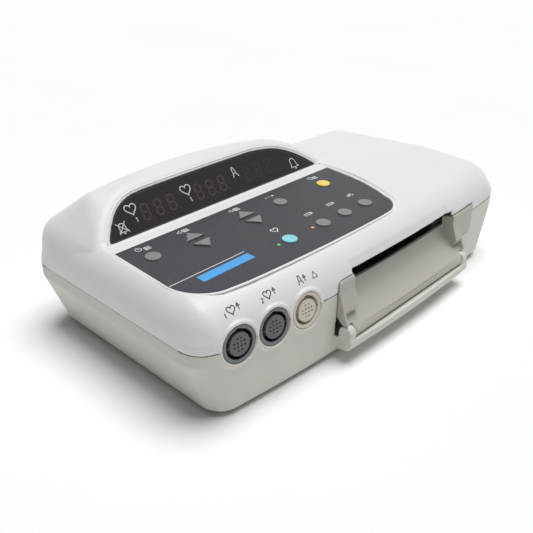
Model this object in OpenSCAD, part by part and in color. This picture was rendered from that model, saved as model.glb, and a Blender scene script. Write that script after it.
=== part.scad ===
// Fetal heart monitor with a chart recorder: desk-top case, display hood, key panel,
// three transducer sockets, recorder door and the works inside.
// Millimetres. X to the right seen from the front, Y to the back, Z up, origin under the middle.
// Inside the modules a place is given as x, y behind the front's crest and h above the parting line.

/* [Case] */
// Width of the case at its parting line
case_w = 468; // [460:2:484]
// Depth of the case at its parting line
case_d = 263; // [261:1:270]
// Height of the parting line above the table
part_z = 72; // [70:0.5:75]
// Height of the recorder deck above the parting line
deck_h = 42; // [41.5:0.5:44]
// Wall thickness of both shells
wall = 3; // [2.5:0.1:3.4]
// Corner radius of the case seen from above
corner_r = 26; // [22:1:30]
// How far the front bows forward between its corners
front_bow = 10.8; // [9.6:0.2:12]
// How far the side walls lean in below the parting line
side_taper = 17; // [14:0.5:19]
// Reach of the deck's rounded edge inwards
edge_in = 38; // [35:1:40]
// Reach of the rounded edge on the display side
edge_left = 24; // [22:1:28]
// Height of the deck's rounded edge
edge_h = 34; // [31:1:36]
// Height of the rubber feet
foot_h = 2; // [1.6:0.1:3]
// Radius of a rubber foot
foot_r = 9; // [7:0.5:10]
// Radius of a screw boss
boss_r = 6; // [5:0.5:6.5]
// Radius of a case screw
screw_r = 2; // [1.5:0.25:2.5]

/* [Display hood] */
// Height of the key panel above the parting line at its back edge
panel_h = 40; // [39.5:0.25:40.5]
// Slope of the key panel down to the front
panel_tilt = 1; // [0.6:0.1:1.4]
// Distance from the front to the key panel's back edge
panel_back = 142.5; // [141:0.5:144]
// Distance from the front to the foot of the window
window_y = 159; // [157:0.5:161]
// Slope of the window against the table
window_tilt = 46; // [44:1:48]
// Width of the window
window_w = 278; // [274:1:280]
// Height of the window up its slope
window_s = 43; // [41:0.5:44]
// Radius of the window's left corner
window_r = 34; // [32:1:35]
// Left end of the window from the middle of the case
window_left = -206; // [-207:0.5:-205]
// Thickness of the smoked window
lens_t = 2.5; // [2:0.1:3]
// Border of the hood around the window
hood_rim = 4; // [3.5:0.25:4.5]
// Rounding of the hood's crest
crest_r = 14; // [12:0.5:15]
// Height of the hood at the back above the parting line
hood_back_h = 60; // [58:1:62]
// Depth of the display board behind the window's face
display_deep = 14; // [13:0.5:15]
// Width of a digit module
digits_w = 48; // [44:1:50]
// Height of a digit module
digits_h = 24; // [22:1:26]

/* [Keys] */
// Thickness of the key panel's printed sheet
sheet_t = 1.5; // [1:0.1:1.8]
// Thickness of the shelf under the sheet and of the one behind the window
shelf_t = 2.5; // [2:0.1:3]
// Radius of a round key
key_r = 7.3; // [6.5:0.1:7.8]
// Width of an arrow key
arrow_w = 15; // [13:0.5:16]
// Depth of an arrow key
arrow_d = 9; // [8:0.25:9.5]
// How far a key stands above the sheet
key_up = 1.3; // [1.1:0.1:2]
// Travel of a key
key_travel = 0.8; // [0.5:0.1:1]
// Clearance around a key
key_gap = 0.25; // [0.2:0.05:0.35]
// Thickness of every circuit board
board_t = 1.6; // [1.2:0.1:2]
// Radius of a lamp on the key panel
led_r = 1.5; // [1.2:0.1:1.8]

/* [Sockets] */
// Outer radius of a transducer socket
socket_r = 16.7; // [16:0.1:17.2]
// Bore radius of a socket's shell
socket_bore_r = 13.2; // [12.6:0.1:13.5]
// Radius of a socket's pin insert
insert_r = 10.4; // [10:0.1:10.8]
// Spacing of the sockets
socket_pitch = 37.6; // [37:0.2:38.4]
// Lean of a socket's face
socket_tilt = 6; // [5:0.5:7]
// Radius of the moulded collar around a socket
collar_r = 20.3; // [19.5:0.1:21]
// Radius of a pin hole
pin_hole_r = 0.9; // [0.7:0.1:1]

/* [Recorder] */
// Width of the chart paper
paper_w = 152; // [150:0.5:153]
// Length of a fold of the chart paper
paper_fold = 92; // [86:1:94]
// Height of the paper slot
slot_h = 6.5; // [6:0.25:7]
// Middle of the paper slot from the middle of the case
slot_x = 29.2; // [28.8:0.1:29.6]
// Radius of the rubber drive roller
roller_r = 7; // [6.4:0.1:7.4]
// Radius of the roller's shaft
shaft_r = 3; // [2.5:0.1:3.5]
// Gear module
gear_m = 0.8; // [0.75:0.05:0.85]
// Teeth on the roller gear
roller_teeth = 30; // [28:1:30]
// Teeth on the motor pinion
pinion_teeth = 12; // [12:1:14]
// Radius of the recorder motor
motor_r = 17.5; // [15:0.5:18]
// Thickness of the recorder frame's plates
frame_t = 3; // [2.5:0.1:3.2]
// Clearance of each running fit
run_gap = 0.05; // [0.03:0.01:0.08]

/* [Door] */
// Gap around the door
door_gap = 0.7; // [0.6:0.1:1]
// Left end of the door from the middle of the case
door_left = -77.5; // [-78.5:0.5:-76.5]
// Right end of the door's tray
tray_right = 132; // [131:0.5:133]
// Right end of the door's upper flange
door_right = 164; // [162:0.5:165]
// Wall thickness of the door's panel
door_t = 3; // [2.6:0.1:3.2]
// Radius of the panel's hollow
panel_r = 34; // [32:0.5:35]
// Reach of the sill in front of the case
sill_reach = 17.5; // [16.5:0.25:18.5]
// Radius of the door's rolled lower edge
barrel_r = 6.6; // [6.2:0.1:6.8]
// Radius of the hinge lugs on the case
lug_r = 7.4; // [7:0.1:7.6]
// Radius of the door's hinge pins
pin_r = 2.5; // [2:0.1:3]

/* [Rear] */
// Width of the rear connector plate
rear_w = 250; // [246:1:254]
// Height of the rear connector plate
rear_h = 40; // [38:0.5:42]
// Thickness of the rear connector plate
rear_t = 1.5; // [1.2:0.1:2]
// Tilt of the power switch's rocker
rocker_tilt = 8; // [6:1:9]
// Radius of the earth post
post_r = 3; // [2.5:0.1:3]
// Travel of the fuse drawer
fuse_travel = 15; // [12:1:16]

/* [Hidden] */
$fn = 48;
tiny = 0.01;
far = 400;

// The front's crest and the back of the case, with the whole object centred on the origin
front_y = -(case_d - sill_reach) / 2;
bow_r = pow(case_w / 2 - corner_r, 2) / (2 * front_bow);
function bow(x) = x * x / (2 * bow_r);
function bow_angle(x) = atan(x / bow_r);
back_bow = 1 / 3;
function back(x) = case_d - back_bow * bow(x);
function across(half, n) = [for (i = [0:n]) -half + 2 * half * i / n];

// Basic shapes placed in the case
module block(x, y, h) {
    translate([x[0], front_y + y[0], part_z + h[0]])
        cube([x[1] - x[0], y[1] - y[0], h[1] - h[0]]);
}
module post(x, y, h, r) {
    translate([x, front_y + y, part_z + h[0]]) cylinder(r = r, h = h[1] - h[0]);
}
module rod(x, y, h, r) {
    translate([x[0], front_y + y, part_z + h]) rotate([0, 90, 0]) cylinder(r = r, h = x[1] - x[0]);
}
module rod_back(x, y, h, r) {
    translate([x, front_y + y[0], part_z + h]) rotate([-90, 0, 0]) cylinder(r = r, h = y[1] - y[0]);
}

// A cross-section in y and h swept from x0 to x1 along the front's bow
module bowed(outline, x0, x1) {
    translate([0, front_y + bow_r, part_z]) rotate([0, 0, bow_angle(x0) - 90])
        rotate_extrude(angle = bow_angle(x1) - bow_angle(x0), $fn = 256)
            polygon([for (p = outline) [bow_r - p[0], p[1]]]);
}

// Shell forms, each drawn t smaller all round
deck_stations = across(case_w / 2 - edge_in, 6);
rim_stations = across(case_w / 2 - corner_r, 8);
back_drop = 8;
crown_y = 105;
front_drop = 2;
straight_h = deck_h - edge_h;
module rounded_point(x, y, top, t, in_x = edge_in) {
    translate([x, front_y + y, part_z + top - edge_h])
        scale([in_x - t, edge_in - t, edge_h - t]) sphere(1, $fn = 24);
}
module rim_post(x, y, h, t) {
    translate([x, front_y + y, part_z + h[0]]) cylinder(r = corner_r - t, h = h[1] - h[0], $fn = 32);
}
module deck_form(t) {
    left = -case_w / 2 + edge_left;
    hull() {
        for (x = rim_stations) {
            rim_post(x, corner_r + bow(x), [-1, straight_h], t);
            rim_post(x, back(x) - corner_r, [-1, 2], t);
        }
        for (x = deck_stations) {
            rounded_point(x, edge_in + bow(x), deck_h - front_drop, t);
            rounded_point(x, back(x) - edge_in, deck_h - back_drop, t);
        }
        rounded_point(left, edge_in + bow(left), deck_h - front_drop, t, edge_left);
        rounded_point(left, crown_y, deck_h, t, edge_left);
        rounded_point(-left - edge_in + edge_left, crown_y, deck_h, t);
    }
}

// The key panel's plane: local Z out of its face, local Y back from its back edge.
// The panel and the window keep their distance from the left side.
panel_x = 234 - case_w / 2;
module on_panel() {
    translate([panel_x, front_y + panel_back, part_z + panel_h]) rotate([panel_tilt, 0, 0])
        translate([0, -panel_back, 0]) children();
}
// The window's plane: local Y up the slope, local Z out of its face
window_foot_h = panel_h + 0.5;
module on_window() {
    translate([panel_x, front_y + window_y, part_z + window_foot_h]) rotate([window_tilt, 0, 0]) children();
}

// Outline of the key panel in x and y, grown by d, with its back edge at y = top
panel_left = -214;
panel_corner = [-178, 68.5, 38];
panel_tip = [24.5, 56.5, 31];
panel_front_y = 24.3;
tip_bulge = 16;
function panel_front(x) = panel_front_y + bow(x + 30);
function panel_side(y) = 72.4 - tip_bulge * pow((panel_back - y) / 90, 2.2);
function key_outline(d, top) = concat(
    [[panel_left - d, top]],
    [for (w = [184:17:252]) [panel_corner[0] + (panel_corner[2] + d) * cos(w),
        panel_corner[1] + (panel_corner[2] + d) * sin(w)]],
    [for (x = [-160:35:15]) [x, panel_front(x) - d]],
    [for (w = [-80:18:-8]) [panel_tip[0] + (panel_tip[2] + d) * cos(w),
        panel_tip[1] + (panel_tip[2] + d) * sin(w)]],
    [for (y = [62:20:122]) [panel_side(y) + d, y]],
    [[panel_side(panel_back) + d, top]]
);

// Outline of the window in x and its slope, grown by d
window_peak = 0.446;
window_swell = 1.65;
function window_outline(d) = let (
    r = window_r + d,
    cx = window_left + window_r,
    a = window_w * window_peak + d,
    peak = window_left + window_w - a + d
) [for (p = concat(
    [[window_left + window_w + d, -d]],
    [for (u = [1, 0.98, 0.93, 0.85, 0.74, 0.6, 0.4, 0.2, 0])
        [peak + a * u, (window_s + d) * pow(1 - pow(u, window_swell), 1 / window_swell)]],
    [for (w = [98:16:162]) [cx + r * cos(w), r * sin(w)]],
    [[window_left - d, -d]]
)) [p[0], max(p[1], -d)]];

// The hood: its crest follows the window's outline, and it falls towards the back
hood_back_stations = [-196, -160, -115, -70, -25, 20, 55];
hood_back_r = 24;
hood_back_mid = -62;
hood_back_half = 150;
function hood_back_top(x) = deck_h - back_drop + 2 + (hood_back_h - deck_h + back_drop - 2)
    * pow(1 - pow(abs(x - hood_back_mid) / hood_back_half, 2.4), 0.5);
module hood_form(t) {
    hull() {
        on_window() for (p = window_outline(hood_rim))
            translate([p[0], max(p[1], 0), -crest_r]) sphere(crest_r - t, $fn = 20);
        for (x = hood_back_stations)
            translate([x + panel_x, front_y + back(x + panel_x) - hood_back_r - 2,
                part_z + hood_back_top(x) - hood_back_r])
                sphere(hood_back_r - t, $fn = 24);
        for (y = [crown_y, case_d - 70])
            rounded_point(-case_w / 2 + edge_left + 4, y, deck_h + (y - crown_y) / 8, t, edge_left);
    }
}

// The lower shell's form
floor_r = 10;
floor_corner = 14;
front_taper = 1.5;
back_taper = 6;
case_top = 12;
function floor_h() = foot_h - part_z;
module case_form(t) {
    out = floor_corner + floor_r;
    hull() {
        for (x = rim_stations) {
            rim_post(x, corner_r + bow(x), [-case_top, 1], t);
            rim_post(x, back(x) - corner_r, [-case_top, 1], t);
        }
        for (x = across(case_w / 2 - side_taper - out, 8))
            for (y = [front_taper + out + bow(x), back(x) - back_taper - out])
                translate([x, front_y + y, foot_h + floor_r]) rotate_extrude($fn = 32)
                    translate([floor_corner, 0]) circle(floor_r - t, $fn = 20);
    }
}
module above_parting() {
    intersection() {
        children();
        block([-far, far], [-far, far], [0, far]);
    }
}
module below_parting() {
    intersection() {
        children();
        block([-far, far], [-far, far], [-part_z, 0]);
    }
}

// Screws that hold the two shells, each in a boss below and above the parting line
screw_x = case_w / 2 - 44;
screw_places = [[-screw_x, 62], [-95, 28], [screw_x, 45], [-screw_x, case_d - 41], [-60, case_d - 27],
    [screw_x, case_d - 41]];
screw_bite = 14;
head_r = 3.6;
head_h = 2.6;
screw_seat = floor_h() + 4;
foot_x = case_w / 2 - 64;
foot_places = [[-foot_x, 42], [foot_x, 42], [-foot_x, case_d - 38], [foot_x, case_d - 38]];
foot_seat = 1;

// Transducer sockets: local Z points out of a socket's face
socket_first = -case_w / 2 * 0.827 + 0.018;
socket_places = [for (i = [0:2]) socket_first + i * socket_pitch];
collar_out = 0.6;
collar_back = 8;
flange_t = 3;
flange_gap = 0.4;
socket_face = 0.4;
barrel_long = 15.5;
cup_deep = 10;
nut_t = 3;
barrel_wall = 1.4;
module at_socket(x) {
    translate([x, front_y + bow(x), part_z]) rotate([0, 0, bow_angle(x)])
        rotate([90 - socket_tilt, 0, 0]) children();
}
module collars() {
    for (x = socket_places) at_socket(x) translate([0, 0, -collar_back])
        cylinder(r = collar_r, h = collar_back + collar_out);
}
module socket_bores() {
    for (x = socket_places) at_socket(x) {
        translate([0, 0, socket_face - flange_t]) cylinder(r = socket_r + flange_gap, h = far / 10);
        translate([0, 0, -2 * collar_back])
            cylinder(r = socket_bore_r + barrel_wall + run_gap, h = 2 * collar_back);
    }
}

// The door's hinge line runs along the chord of the bowed sill
lip_t = 0.9;
barrel_gap = 0.5;
hinge_h = -40;
sill_top = hinge_h - barrel_r + 0.1;
sill_bottom = -57;
hinge_turn = atan((bow(tray_right) - bow(door_left)) / (tray_right - door_left));
function hinge_y(x) = -sill_reach + bow(door_left) + lip_t + barrel_gap + barrel_r
    + (x - door_left) * tan(hinge_turn);
module hinge_rod(x0, x1, r) {
    translate([x0, front_y + hinge_y(x0), part_z + hinge_h]) rotate([0, 0, hinge_turn])
        rotate([0, 90, 0]) cylinder(r = r, h = x1 - x0);
}
lug_w = 9;
lug_gap = 0.9;

// Bay of the door and the brow above it
flange_w = 21.5;
slot_low = 9;
slot_top = slot_low + slot_h;
flange_top = 11;
plate_left = 118;
plate_top = 9.3;
plate_low = -24;
bay_deep = 15;
brow_top = 29;
brow_left = door_left + 17.5;
module door_bay() {
    left = door_left - door_gap;
    inner_left = left + flange_w;
    right = door_right + door_gap;
    translate([0, front_y + bay_deep, part_z]) rotate([90, 0, 0]) linear_extrude(far / 4)
        polygon([[left, sill_top], [tray_right + door_gap, sill_top],
            [tray_right + door_gap, plate_low - door_gap], [right, plate_low - door_gap],
            [right, plate_top + door_gap], [plate_left - door_gap, plate_top + door_gap],
            [plate_left - door_gap, slot_top], [inner_left, slot_top],
            [inner_left, flange_top + door_gap], [left, flange_top + door_gap]]);
}
module brow_face() {
    bowed([[-20, slot_top - 3], [1.9, slot_top - 3], [8.3, brow_top + 1], [-20, brow_top + 1]],
        brow_left, plate_left - 10);
}
module brow_shelf() {
    bowed([[-2, slot_top - 1], [12, slot_top - 1], [16, 34], [-2, 34]], brow_left - 2, plate_left - 8);
}

// Boards under the key panel and behind the window
key_flange_t = 1.2;
key_lift = 0.3;
key_low = sheet_t + shelf_t + key_lift + key_flange_t;
switch_h = 1.5;
switch_top = key_low + key_travel + 0.2;
key_board_top = switch_top + switch_h;
key_board_x = [-206, 46];
key_board_y = [47.5, 128];
key_board_posts = [[-175, 90], [-115, 72], [-115, 122], [-58, 84], [5, 84], [40, 62]];
display_board_x = [-160, 25];
display_board_s = [-3, 44];
display_posts = [[-140, -0.5], [0, -0.5], [-118, 38.5], [-43, 42.5]];
stud_r = 2.5;
module cover_studs() {
    on_panel() for (p = key_board_posts)
        translate([p[0], p[1], -key_board_top]) cylinder(r = stud_r, h = key_board_top - tiny);
    on_window() for (p = display_posts)
        translate([p[0], p[1], -display_deep]) cylinder(r = stud_r, h = display_deep - tiny);
}
module panel_slab(d, top, z) {
    on_panel() translate([0, 0, z[0]]) linear_extrude(z[1] - z[0]) polygon(key_outline(d, top));
}
module window_slab(d, z) {
    on_window() translate([0, 0, z[0]]) linear_extrude(z[1] - z[0]) polygon(window_outline(d));
}
panel_rim = 4;
panel_rise = 0.4;
fit = 0.15;
module cover_cavity() {
    difference() {
        union() {
            deck_form(wall);
            hood_form(wall);
        }
        panel_slab(panel_rim + 1, window_y, [-sheet_t - shelf_t, 3]);
        window_slab(hood_rim + 1, [-lens_t - shelf_t, 3]);
        brow_shelf();
        collars();
        cover_studs();
        for (p = screw_places) post(p[0], p[1], [-5, far], boss_r);
    }
}
module key_holes() {
    for (k = round_keys) on_panel() translate([k[0], k[1], -far / 40])
        cylinder(r = key_r + key_gap, h = far / 20);
    for (k = arrow_keys) on_panel() translate([k[0], k[1], -far / 40]) linear_extrude(far / 20)
        arrow(key_gap, k[2]);
    for (k = lamps) on_panel() translate([k[0], k[1], -far / 40]) cylinder(r = led_r + 0.1, h = far / 20);
}
module cover_skin() {
    difference() {
        above_parting() union() {
            deck_form(0);
            hood_form(0);
            collars();
        }
        cover_cavity();
    }
}
module cover_recessed() {
    difference() {
        difference() {
            cover_skin();
            panel_slab(panel_rim, window_y, [panel_rise, 12]);
            window_slab(hood_rim, [0, 12]);
        }
        panel_slab(fit, panel_back, [-sheet_t, 12]);
        window_slab(fit, [-lens_t, 12]);
        window_slab(-3, [-12, 12]);
        brow_face();
        socket_bores();
    }
}
module top_cover() {
    color("whitesmoke") difference() {
        difference() {
            cover_recessed();
            door_bay();
        }
        key_holes();
        for (p = screw_places) post(p[0], p[1], [-1, screw_bite + 1], screw_r + run_gap);
    }
}

// Bottom case
pocket_low = -56;
pocket_h = [pocket_low, pocket_low + rear_h];
pocket_y = case_d - 12;
pocket_ledge = 2;
speaker_at = [84 - case_w / 2, 172];
frame_front = 21.2;
frame_back = frame_front + frame_t / 2 + paper_fold + frame_t;
sill_back = frame_front + 5;
frame_bosses = [[door_left + 11.5, frame_back - 10], [slot_x + paper_w / 2 - 7.2, frame_back - 10]];
module case_cavity() {
    difference() {
        case_form(wall);
        collars();
        for (p = screw_places) post(p[0], p[1], [-part_z, 5], boss_r);
        for (p = frame_bosses) post(p[0], p[1], [-part_z, sill_top], boss_r - 1);
        block([-rear_w / 2 - wall, rear_w / 2 + wall], [pocket_y - rear_t - wall, far],
            [pocket_h[0] - wall, pocket_h[1] + wall]);
    }
}
module sill() {
    bowed([[-sill_reach, sill_top + 1.1], [-sill_reach, sill_bottom + 4], [-sill_reach + 4, sill_bottom],
        [2, sill_bottom - 3], [sill_back, sill_top - frame_t - 1], [sill_back, sill_top],
        [-sill_reach + 8, sill_top], [-sill_reach + 5, sill_top + 1.1]], door_left, tray_right);
}
module lug(x0) {
    hinge_rod(x0, x0 + lug_w, lug_r);
    block([x0, x0 + lug_w], [hinge_y(x0) - lug_r + 1, hinge_y(x0) + lug_r], [sill_top - 2, hinge_h]);
}
module bottom_case() {
    color("gainsboro") difference() {
        union() {
            difference() {
                below_parting() union() {
                    case_form(0);
                    collars();
                }
                case_cavity();
                door_bay();
            }
            difference() {
                sill();
                hinge_rod(door_left + lug_w, tray_right - lug_w, barrel_r + barrel_gap);
            }
            lug(door_left);
            lug(tray_right - lug_w);
        }
        socket_bores();
        hinge_rod(door_left + 2.5, door_left + lug_w + 1, pin_r);
        hinge_rod(tray_right - lug_w - 1, tray_right - 2.5, pin_r);
        for (p = screw_places) {
            post(p[0], p[1], [-part_z, 1], screw_r + run_gap);
            post(p[0], p[1], [-part_z, screw_seat], head_r + 0.4);
        }
        for (p = frame_bosses) post(p[0], p[1], [sill_top - 9, sill_top + 1], screw_r);
        for (p = foot_places) post(p[0], p[1], [-part_z, floor_h() + foot_seat], foot_r);
        for (i = [-3:3], j = [-3:3]) if (norm([i, j]) < 3.2)
            post(speaker_at[0] + 9 * i, speaker_at[1] + 9 * j, [-part_z, floor_h() + wall + 1], 2);
        block([-rear_w / 2, rear_w / 2], [pocket_y - rear_t, far], pocket_h);
        block([-rear_w / 2 + pocket_ledge, rear_w / 2 - pocket_ledge], [pocket_y - 10, pocket_y],
            [pocket_h[0] + pocket_ledge, pocket_h[1] - pocket_ledge]);
    }
}

// Recorder door: hollow panel, rolled lower edge, left flange and right plate
panel_turn = 47;
panel_ball = barrel_r + 0.8;
panel_ball_y = -8.1;
panel_arc_h = 5;
panel_arc_y = panel_ball_y - (panel_r + panel_ball - (panel_arc_h - hinge_h) * sin(panel_turn)) / cos(panel_turn);
function panel_arc(r, w) = [panel_arc_y + r * cos(w), panel_arc_h - r * sin(w)];
function panel_line(d, s) = [panel_ball_y - d * cos(panel_turn) + s * sin(panel_turn),
    hinge_h + d * sin(panel_turn) + s * cos(panel_turn)];
panel_inner = panel_ball - door_t;
lug_clear = lug_r + lug_gap + 0.3;
function panel_profile() = concat(
    [[panel_arc_y + panel_r + door_t, slot_low], [panel_arc_y + panel_r, slot_low]],
    [for (i = [0:4]) panel_arc(panel_r, panel_turn * i / 4)],
    [for (d = [panel_ball, panel_inner]) panel_line(d, sqrt(lug_clear * lug_clear - d * d))],
    [for (i = [4:-1:0]) panel_arc(panel_r + door_t, panel_turn * i / 4)]
);
// Lower strip of the panel, between the lugs
strip_up = 14;
strip_in = 0.05;
function strip_profile() = concat(
    [for (s = [strip_up, 0]) panel_line(panel_ball - strip_in, s)],
    [[panel_ball_y - 1, hinge_h], [panel_ball_y + 4, hinge_h + 2]],
    [for (s = [5, strip_up]) panel_line(panel_inner + strip_in, s)]
);
flange_proud = 1.3;
flange_crease = -18;
cheek_w = 3;
cheek_profile = [[-7.6, flange_crease], [-9.4, -24], [-12.5, -30], [-11, -31.4], [0, -23], [4, -14]];
function swing_r(x, edge) = norm([bow(x) - hinge_y(x), edge - hinge_h]) - 0.5;
module door_flanges() {
    flange_profile = [[-0.3, flange_top - 0.1], [-flange_proud, flange_top - 2.5], [-flange_proud, 0],
        [-7.6, flange_crease], [-4.5, -24], [3, -20], [10.6, -8], [12.6, 0], [12.6, flange_top - 0.1]];
    plate_profile = [[0.6, plate_top], [-1, plate_top - 2.8], [-1, plate_low + 3], [0, plate_low],
        [8, plate_low], [8, plate_top]];
    intersection() {
        bowed(flange_profile, door_left, door_left + flange_w);
        hinge_rod(door_left - 1, door_left + flange_w + 1,
            swing_r(door_left + flange_w / 2, flange_top + door_gap));
    }
    intersection() {
        union() {
            bowed(plate_profile, plate_left, door_right);
            bowed(flange_profile, plate_left, tray_right);
        }
        hinge_rod(plate_left - 1, door_right + 1, swing_r(plate_left, plate_top + door_gap));
    }
}
module recorder_door() {
    start = door_left + lug_w + lug_gap;
    end = tray_right - lug_w - lug_gap;
    color("lightgray") difference() {
        union() {
            union() {
                bowed(panel_profile(), door_left, tray_right);
                door_flanges();
            }
            union() {
                bowed(strip_profile(), start, end);
                hinge_rod(start, end, barrel_r);
            }
            bowed(cheek_profile, door_left, door_left + cheek_w);
            bowed(cheek_profile, tray_right - cheek_w, tray_right);
        }
        hinge_rod(start - 1, start - lug_gap + pin_long + 1, pin_r + run_gap);
        hinge_rod(end + lug_gap - pin_long - 1, end + 1, pin_r + run_gap);
    }
}
pin_long = 10;
module door_hinge_pins() {
    color("silver") {
        hinge_rod(door_left + 2.5, door_left + lug_w + pin_long, pin_r);
        hinge_rod(tray_right - lug_w - pin_long, tray_right - 2.5, pin_r);
    }
}

// Catches on the recorder frame that hold the door shut
catch_places = [[door_left + 10, panel_arc_y + panel_r + door_t], [140, 8]];
catch_r = 4;
module door_catches() {
    color("dimgray") for (c = catch_places)
        rod_back(c[0], [c[1] + bow(c[0] + 5) + run_gap * 6, frame_front], 0, catch_r);
}

// Display
digit_places = [-139, -74.5, -6.2];
digit_mid = 18.3;
digit_face = lens_t + shelf_t + 0.2;
module display_window() {
    color([0.1, 0.1, 0.12]) window_slab(0, [-lens_t, 0]);
}
module display_board() {
    color("darkgreen") on_window()
        translate([display_board_x[0], display_board_s[0], -display_deep - board_t])
            cube([display_board_x[1] - display_board_x[0], display_board_s[1] - display_board_s[0], board_t]);
}
module digit_module(x) {
    color([0.25, 0.12, 0.1]) on_window() translate([x - digits_w / 2, digit_mid - digits_h / 2, -display_deep])
        cube([digits_w, digits_h, display_deep - digit_face]);
}
module digit_module_left() { digit_module(digit_places[0]); }
module digit_module_middle() { digit_module(digit_places[1]); }
module digit_module_right() { digit_module(digit_places[2]); }

// Key panel: round keys, arrow keys with the way they point, and lamps
round_keys = [[-193.3, 115.4], [-32.4, 115.4], [34.7, 115.4], [-85.3, 54.5], [-38, 54.5], [-5.3, 54.5],
    [27.1, 54.5]];
arrow_keys = [[-146.5, 113.5, 1], [-146.5, 103, -1], [-82, 113.5, 1], [-82, 103, -1]];
lamps = [[-100, 54.1], [-52.4, 55.1]];
arrow_lip = 0.55;
module arrow(grow, way) {
    half = arrow_w / 2;
    tip = arrow_d / 2 + grow * norm([half, arrow_d]) / half;
    base = -arrow_d / 2 - grow;
    wide = (tip - base) * half / arrow_d;
    polygon([[-wide, way * base], [wide, way * base], [0, way * tip]]);
}
module keypad_sheet() {
    color([0.24, 0.25, 0.29]) difference() {
        panel_slab(0, panel_back - fit, [-sheet_t, 0]);
        key_holes();
    }
}
module round_key(i, tint) {
    k = round_keys[i];
    color(tint) on_panel() translate([k[0], k[1], -key_low]) {
        cylinder(r = key_r + 4 * key_gap, h = key_flange_t);
        cylinder(r = key_r, h = key_low + key_up);
    }
}
module arrow_key(i) {
    k = arrow_keys[i];
    color("gray") on_panel() translate([k[0], k[1], -key_low]) {
        linear_extrude(key_flange_t) arrow(arrow_lip, k[2]);
        linear_extrude(key_low + key_up) arrow(0, k[2]);
    }
}
module key_top_left() { round_key(0, "gray"); }
module key_top_middle() { round_key(1, "gray"); }
module key_yellow() { round_key(2, "gold"); }
module key_turquoise() { round_key(3, "turquoise"); }
module key_low_left() { round_key(4, "gray"); }
module key_low_middle() { round_key(5, "gray"); }
module key_low_right() { round_key(6, "gray"); }
module key_up_left() { arrow_key(0); }
module key_down_left() { arrow_key(1); }
module key_up_right() { arrow_key(2); }
module key_down_right() { arrow_key(3); }
module lamp(i, tint) {
    color(tint) on_panel() translate([lamps[i][0], lamps[i][1], -key_board_top])
        cylinder(r = led_r, h = key_board_top + 0.2);
}
module led_green() { lamp(0, "limegreen"); }
module led_amber() { lamp(1, "orange"); }
switch_w = 6;
module key_switches() {
    color("black") on_panel() for (k = concat(round_keys, arrow_keys))
        translate([k[0], k[1], -key_board_top]) {
            translate([-switch_w / 2, -switch_w / 2, 0]) cube([switch_w, switch_w, switch_h - 0.4]);
            cylinder(r = 1.6, h = switch_h);
        }
}
module keypad_board() {
    color("darkgreen") difference() {
        on_panel() translate([key_board_x[0], key_board_y[0], -key_board_top - board_t])
            cube([key_board_x[1] - key_board_x[0], key_board_y[1] - key_board_y[0], board_t]);
        for (p = screw_places) post(p[0], p[1], [0, far], boss_r + 1);
    }
}

// Transducer sockets
pin_rows = [[-3, 2], [-1, 4], [1, 4], [3, 2]];
pin_step = 3.6;
module socket_shell(i, tint) {
    color(tint) at_socket(socket_places[i]) difference() {
        union() {
            translate([0, 0, socket_face - flange_t]) cylinder(r = socket_r, h = flange_t);
            translate([0, 0, socket_face - barrel_long])
                cylinder(r = socket_bore_r + barrel_wall, h = barrel_long - flange_t / 2);
        }
        translate([0, 0, socket_face - cup_deep]) cylinder(r = socket_bore_r, h = cup_deep + 1);
        translate([0, 0, -far / 10]) cylinder(r = insert_r, h = far / 10 - cup_deep - 2);
    }
}
module socket_insert(i, tint) {
    color(tint) at_socket(socket_places[i]) translate([0, 0, socket_face - cup_deep]) difference() {
        cylinder(r = insert_r, h = cup_deep);
        for (row = pin_rows, j = [0:row[1] - 1])
            translate([(j - (row[1] - 1) / 2) * pin_step, row[0] * pin_step / 2, cup_deep / 2])
                cylinder(r = pin_hole_r, h = cup_deep);
    }
}
module socket_shell_left() { socket_shell(0, "dimgray"); }
module socket_shell_middle() { socket_shell(1, "dimgray"); }
module socket_shell_right() { socket_shell(2, "beige"); }
module socket_insert_left() { socket_insert(0, [0.25, 0.26, 0.27]); }
module socket_insert_middle() { socket_insert(1, [0.25, 0.26, 0.27]); }
module socket_insert_right() { socket_insert(2, "beige"); }
module socket_nuts() {
    color("silver") for (x = socket_places) at_socket(x) translate([0, 0, -collar_back - nut_t])
        difference() {
            cylinder(r = socket_r, h = nut_t);
            translate([0, 0, -1]) cylinder(r = socket_bore_r + barrel_wall + run_gap, h = nut_t + 2);
        }
}

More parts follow.
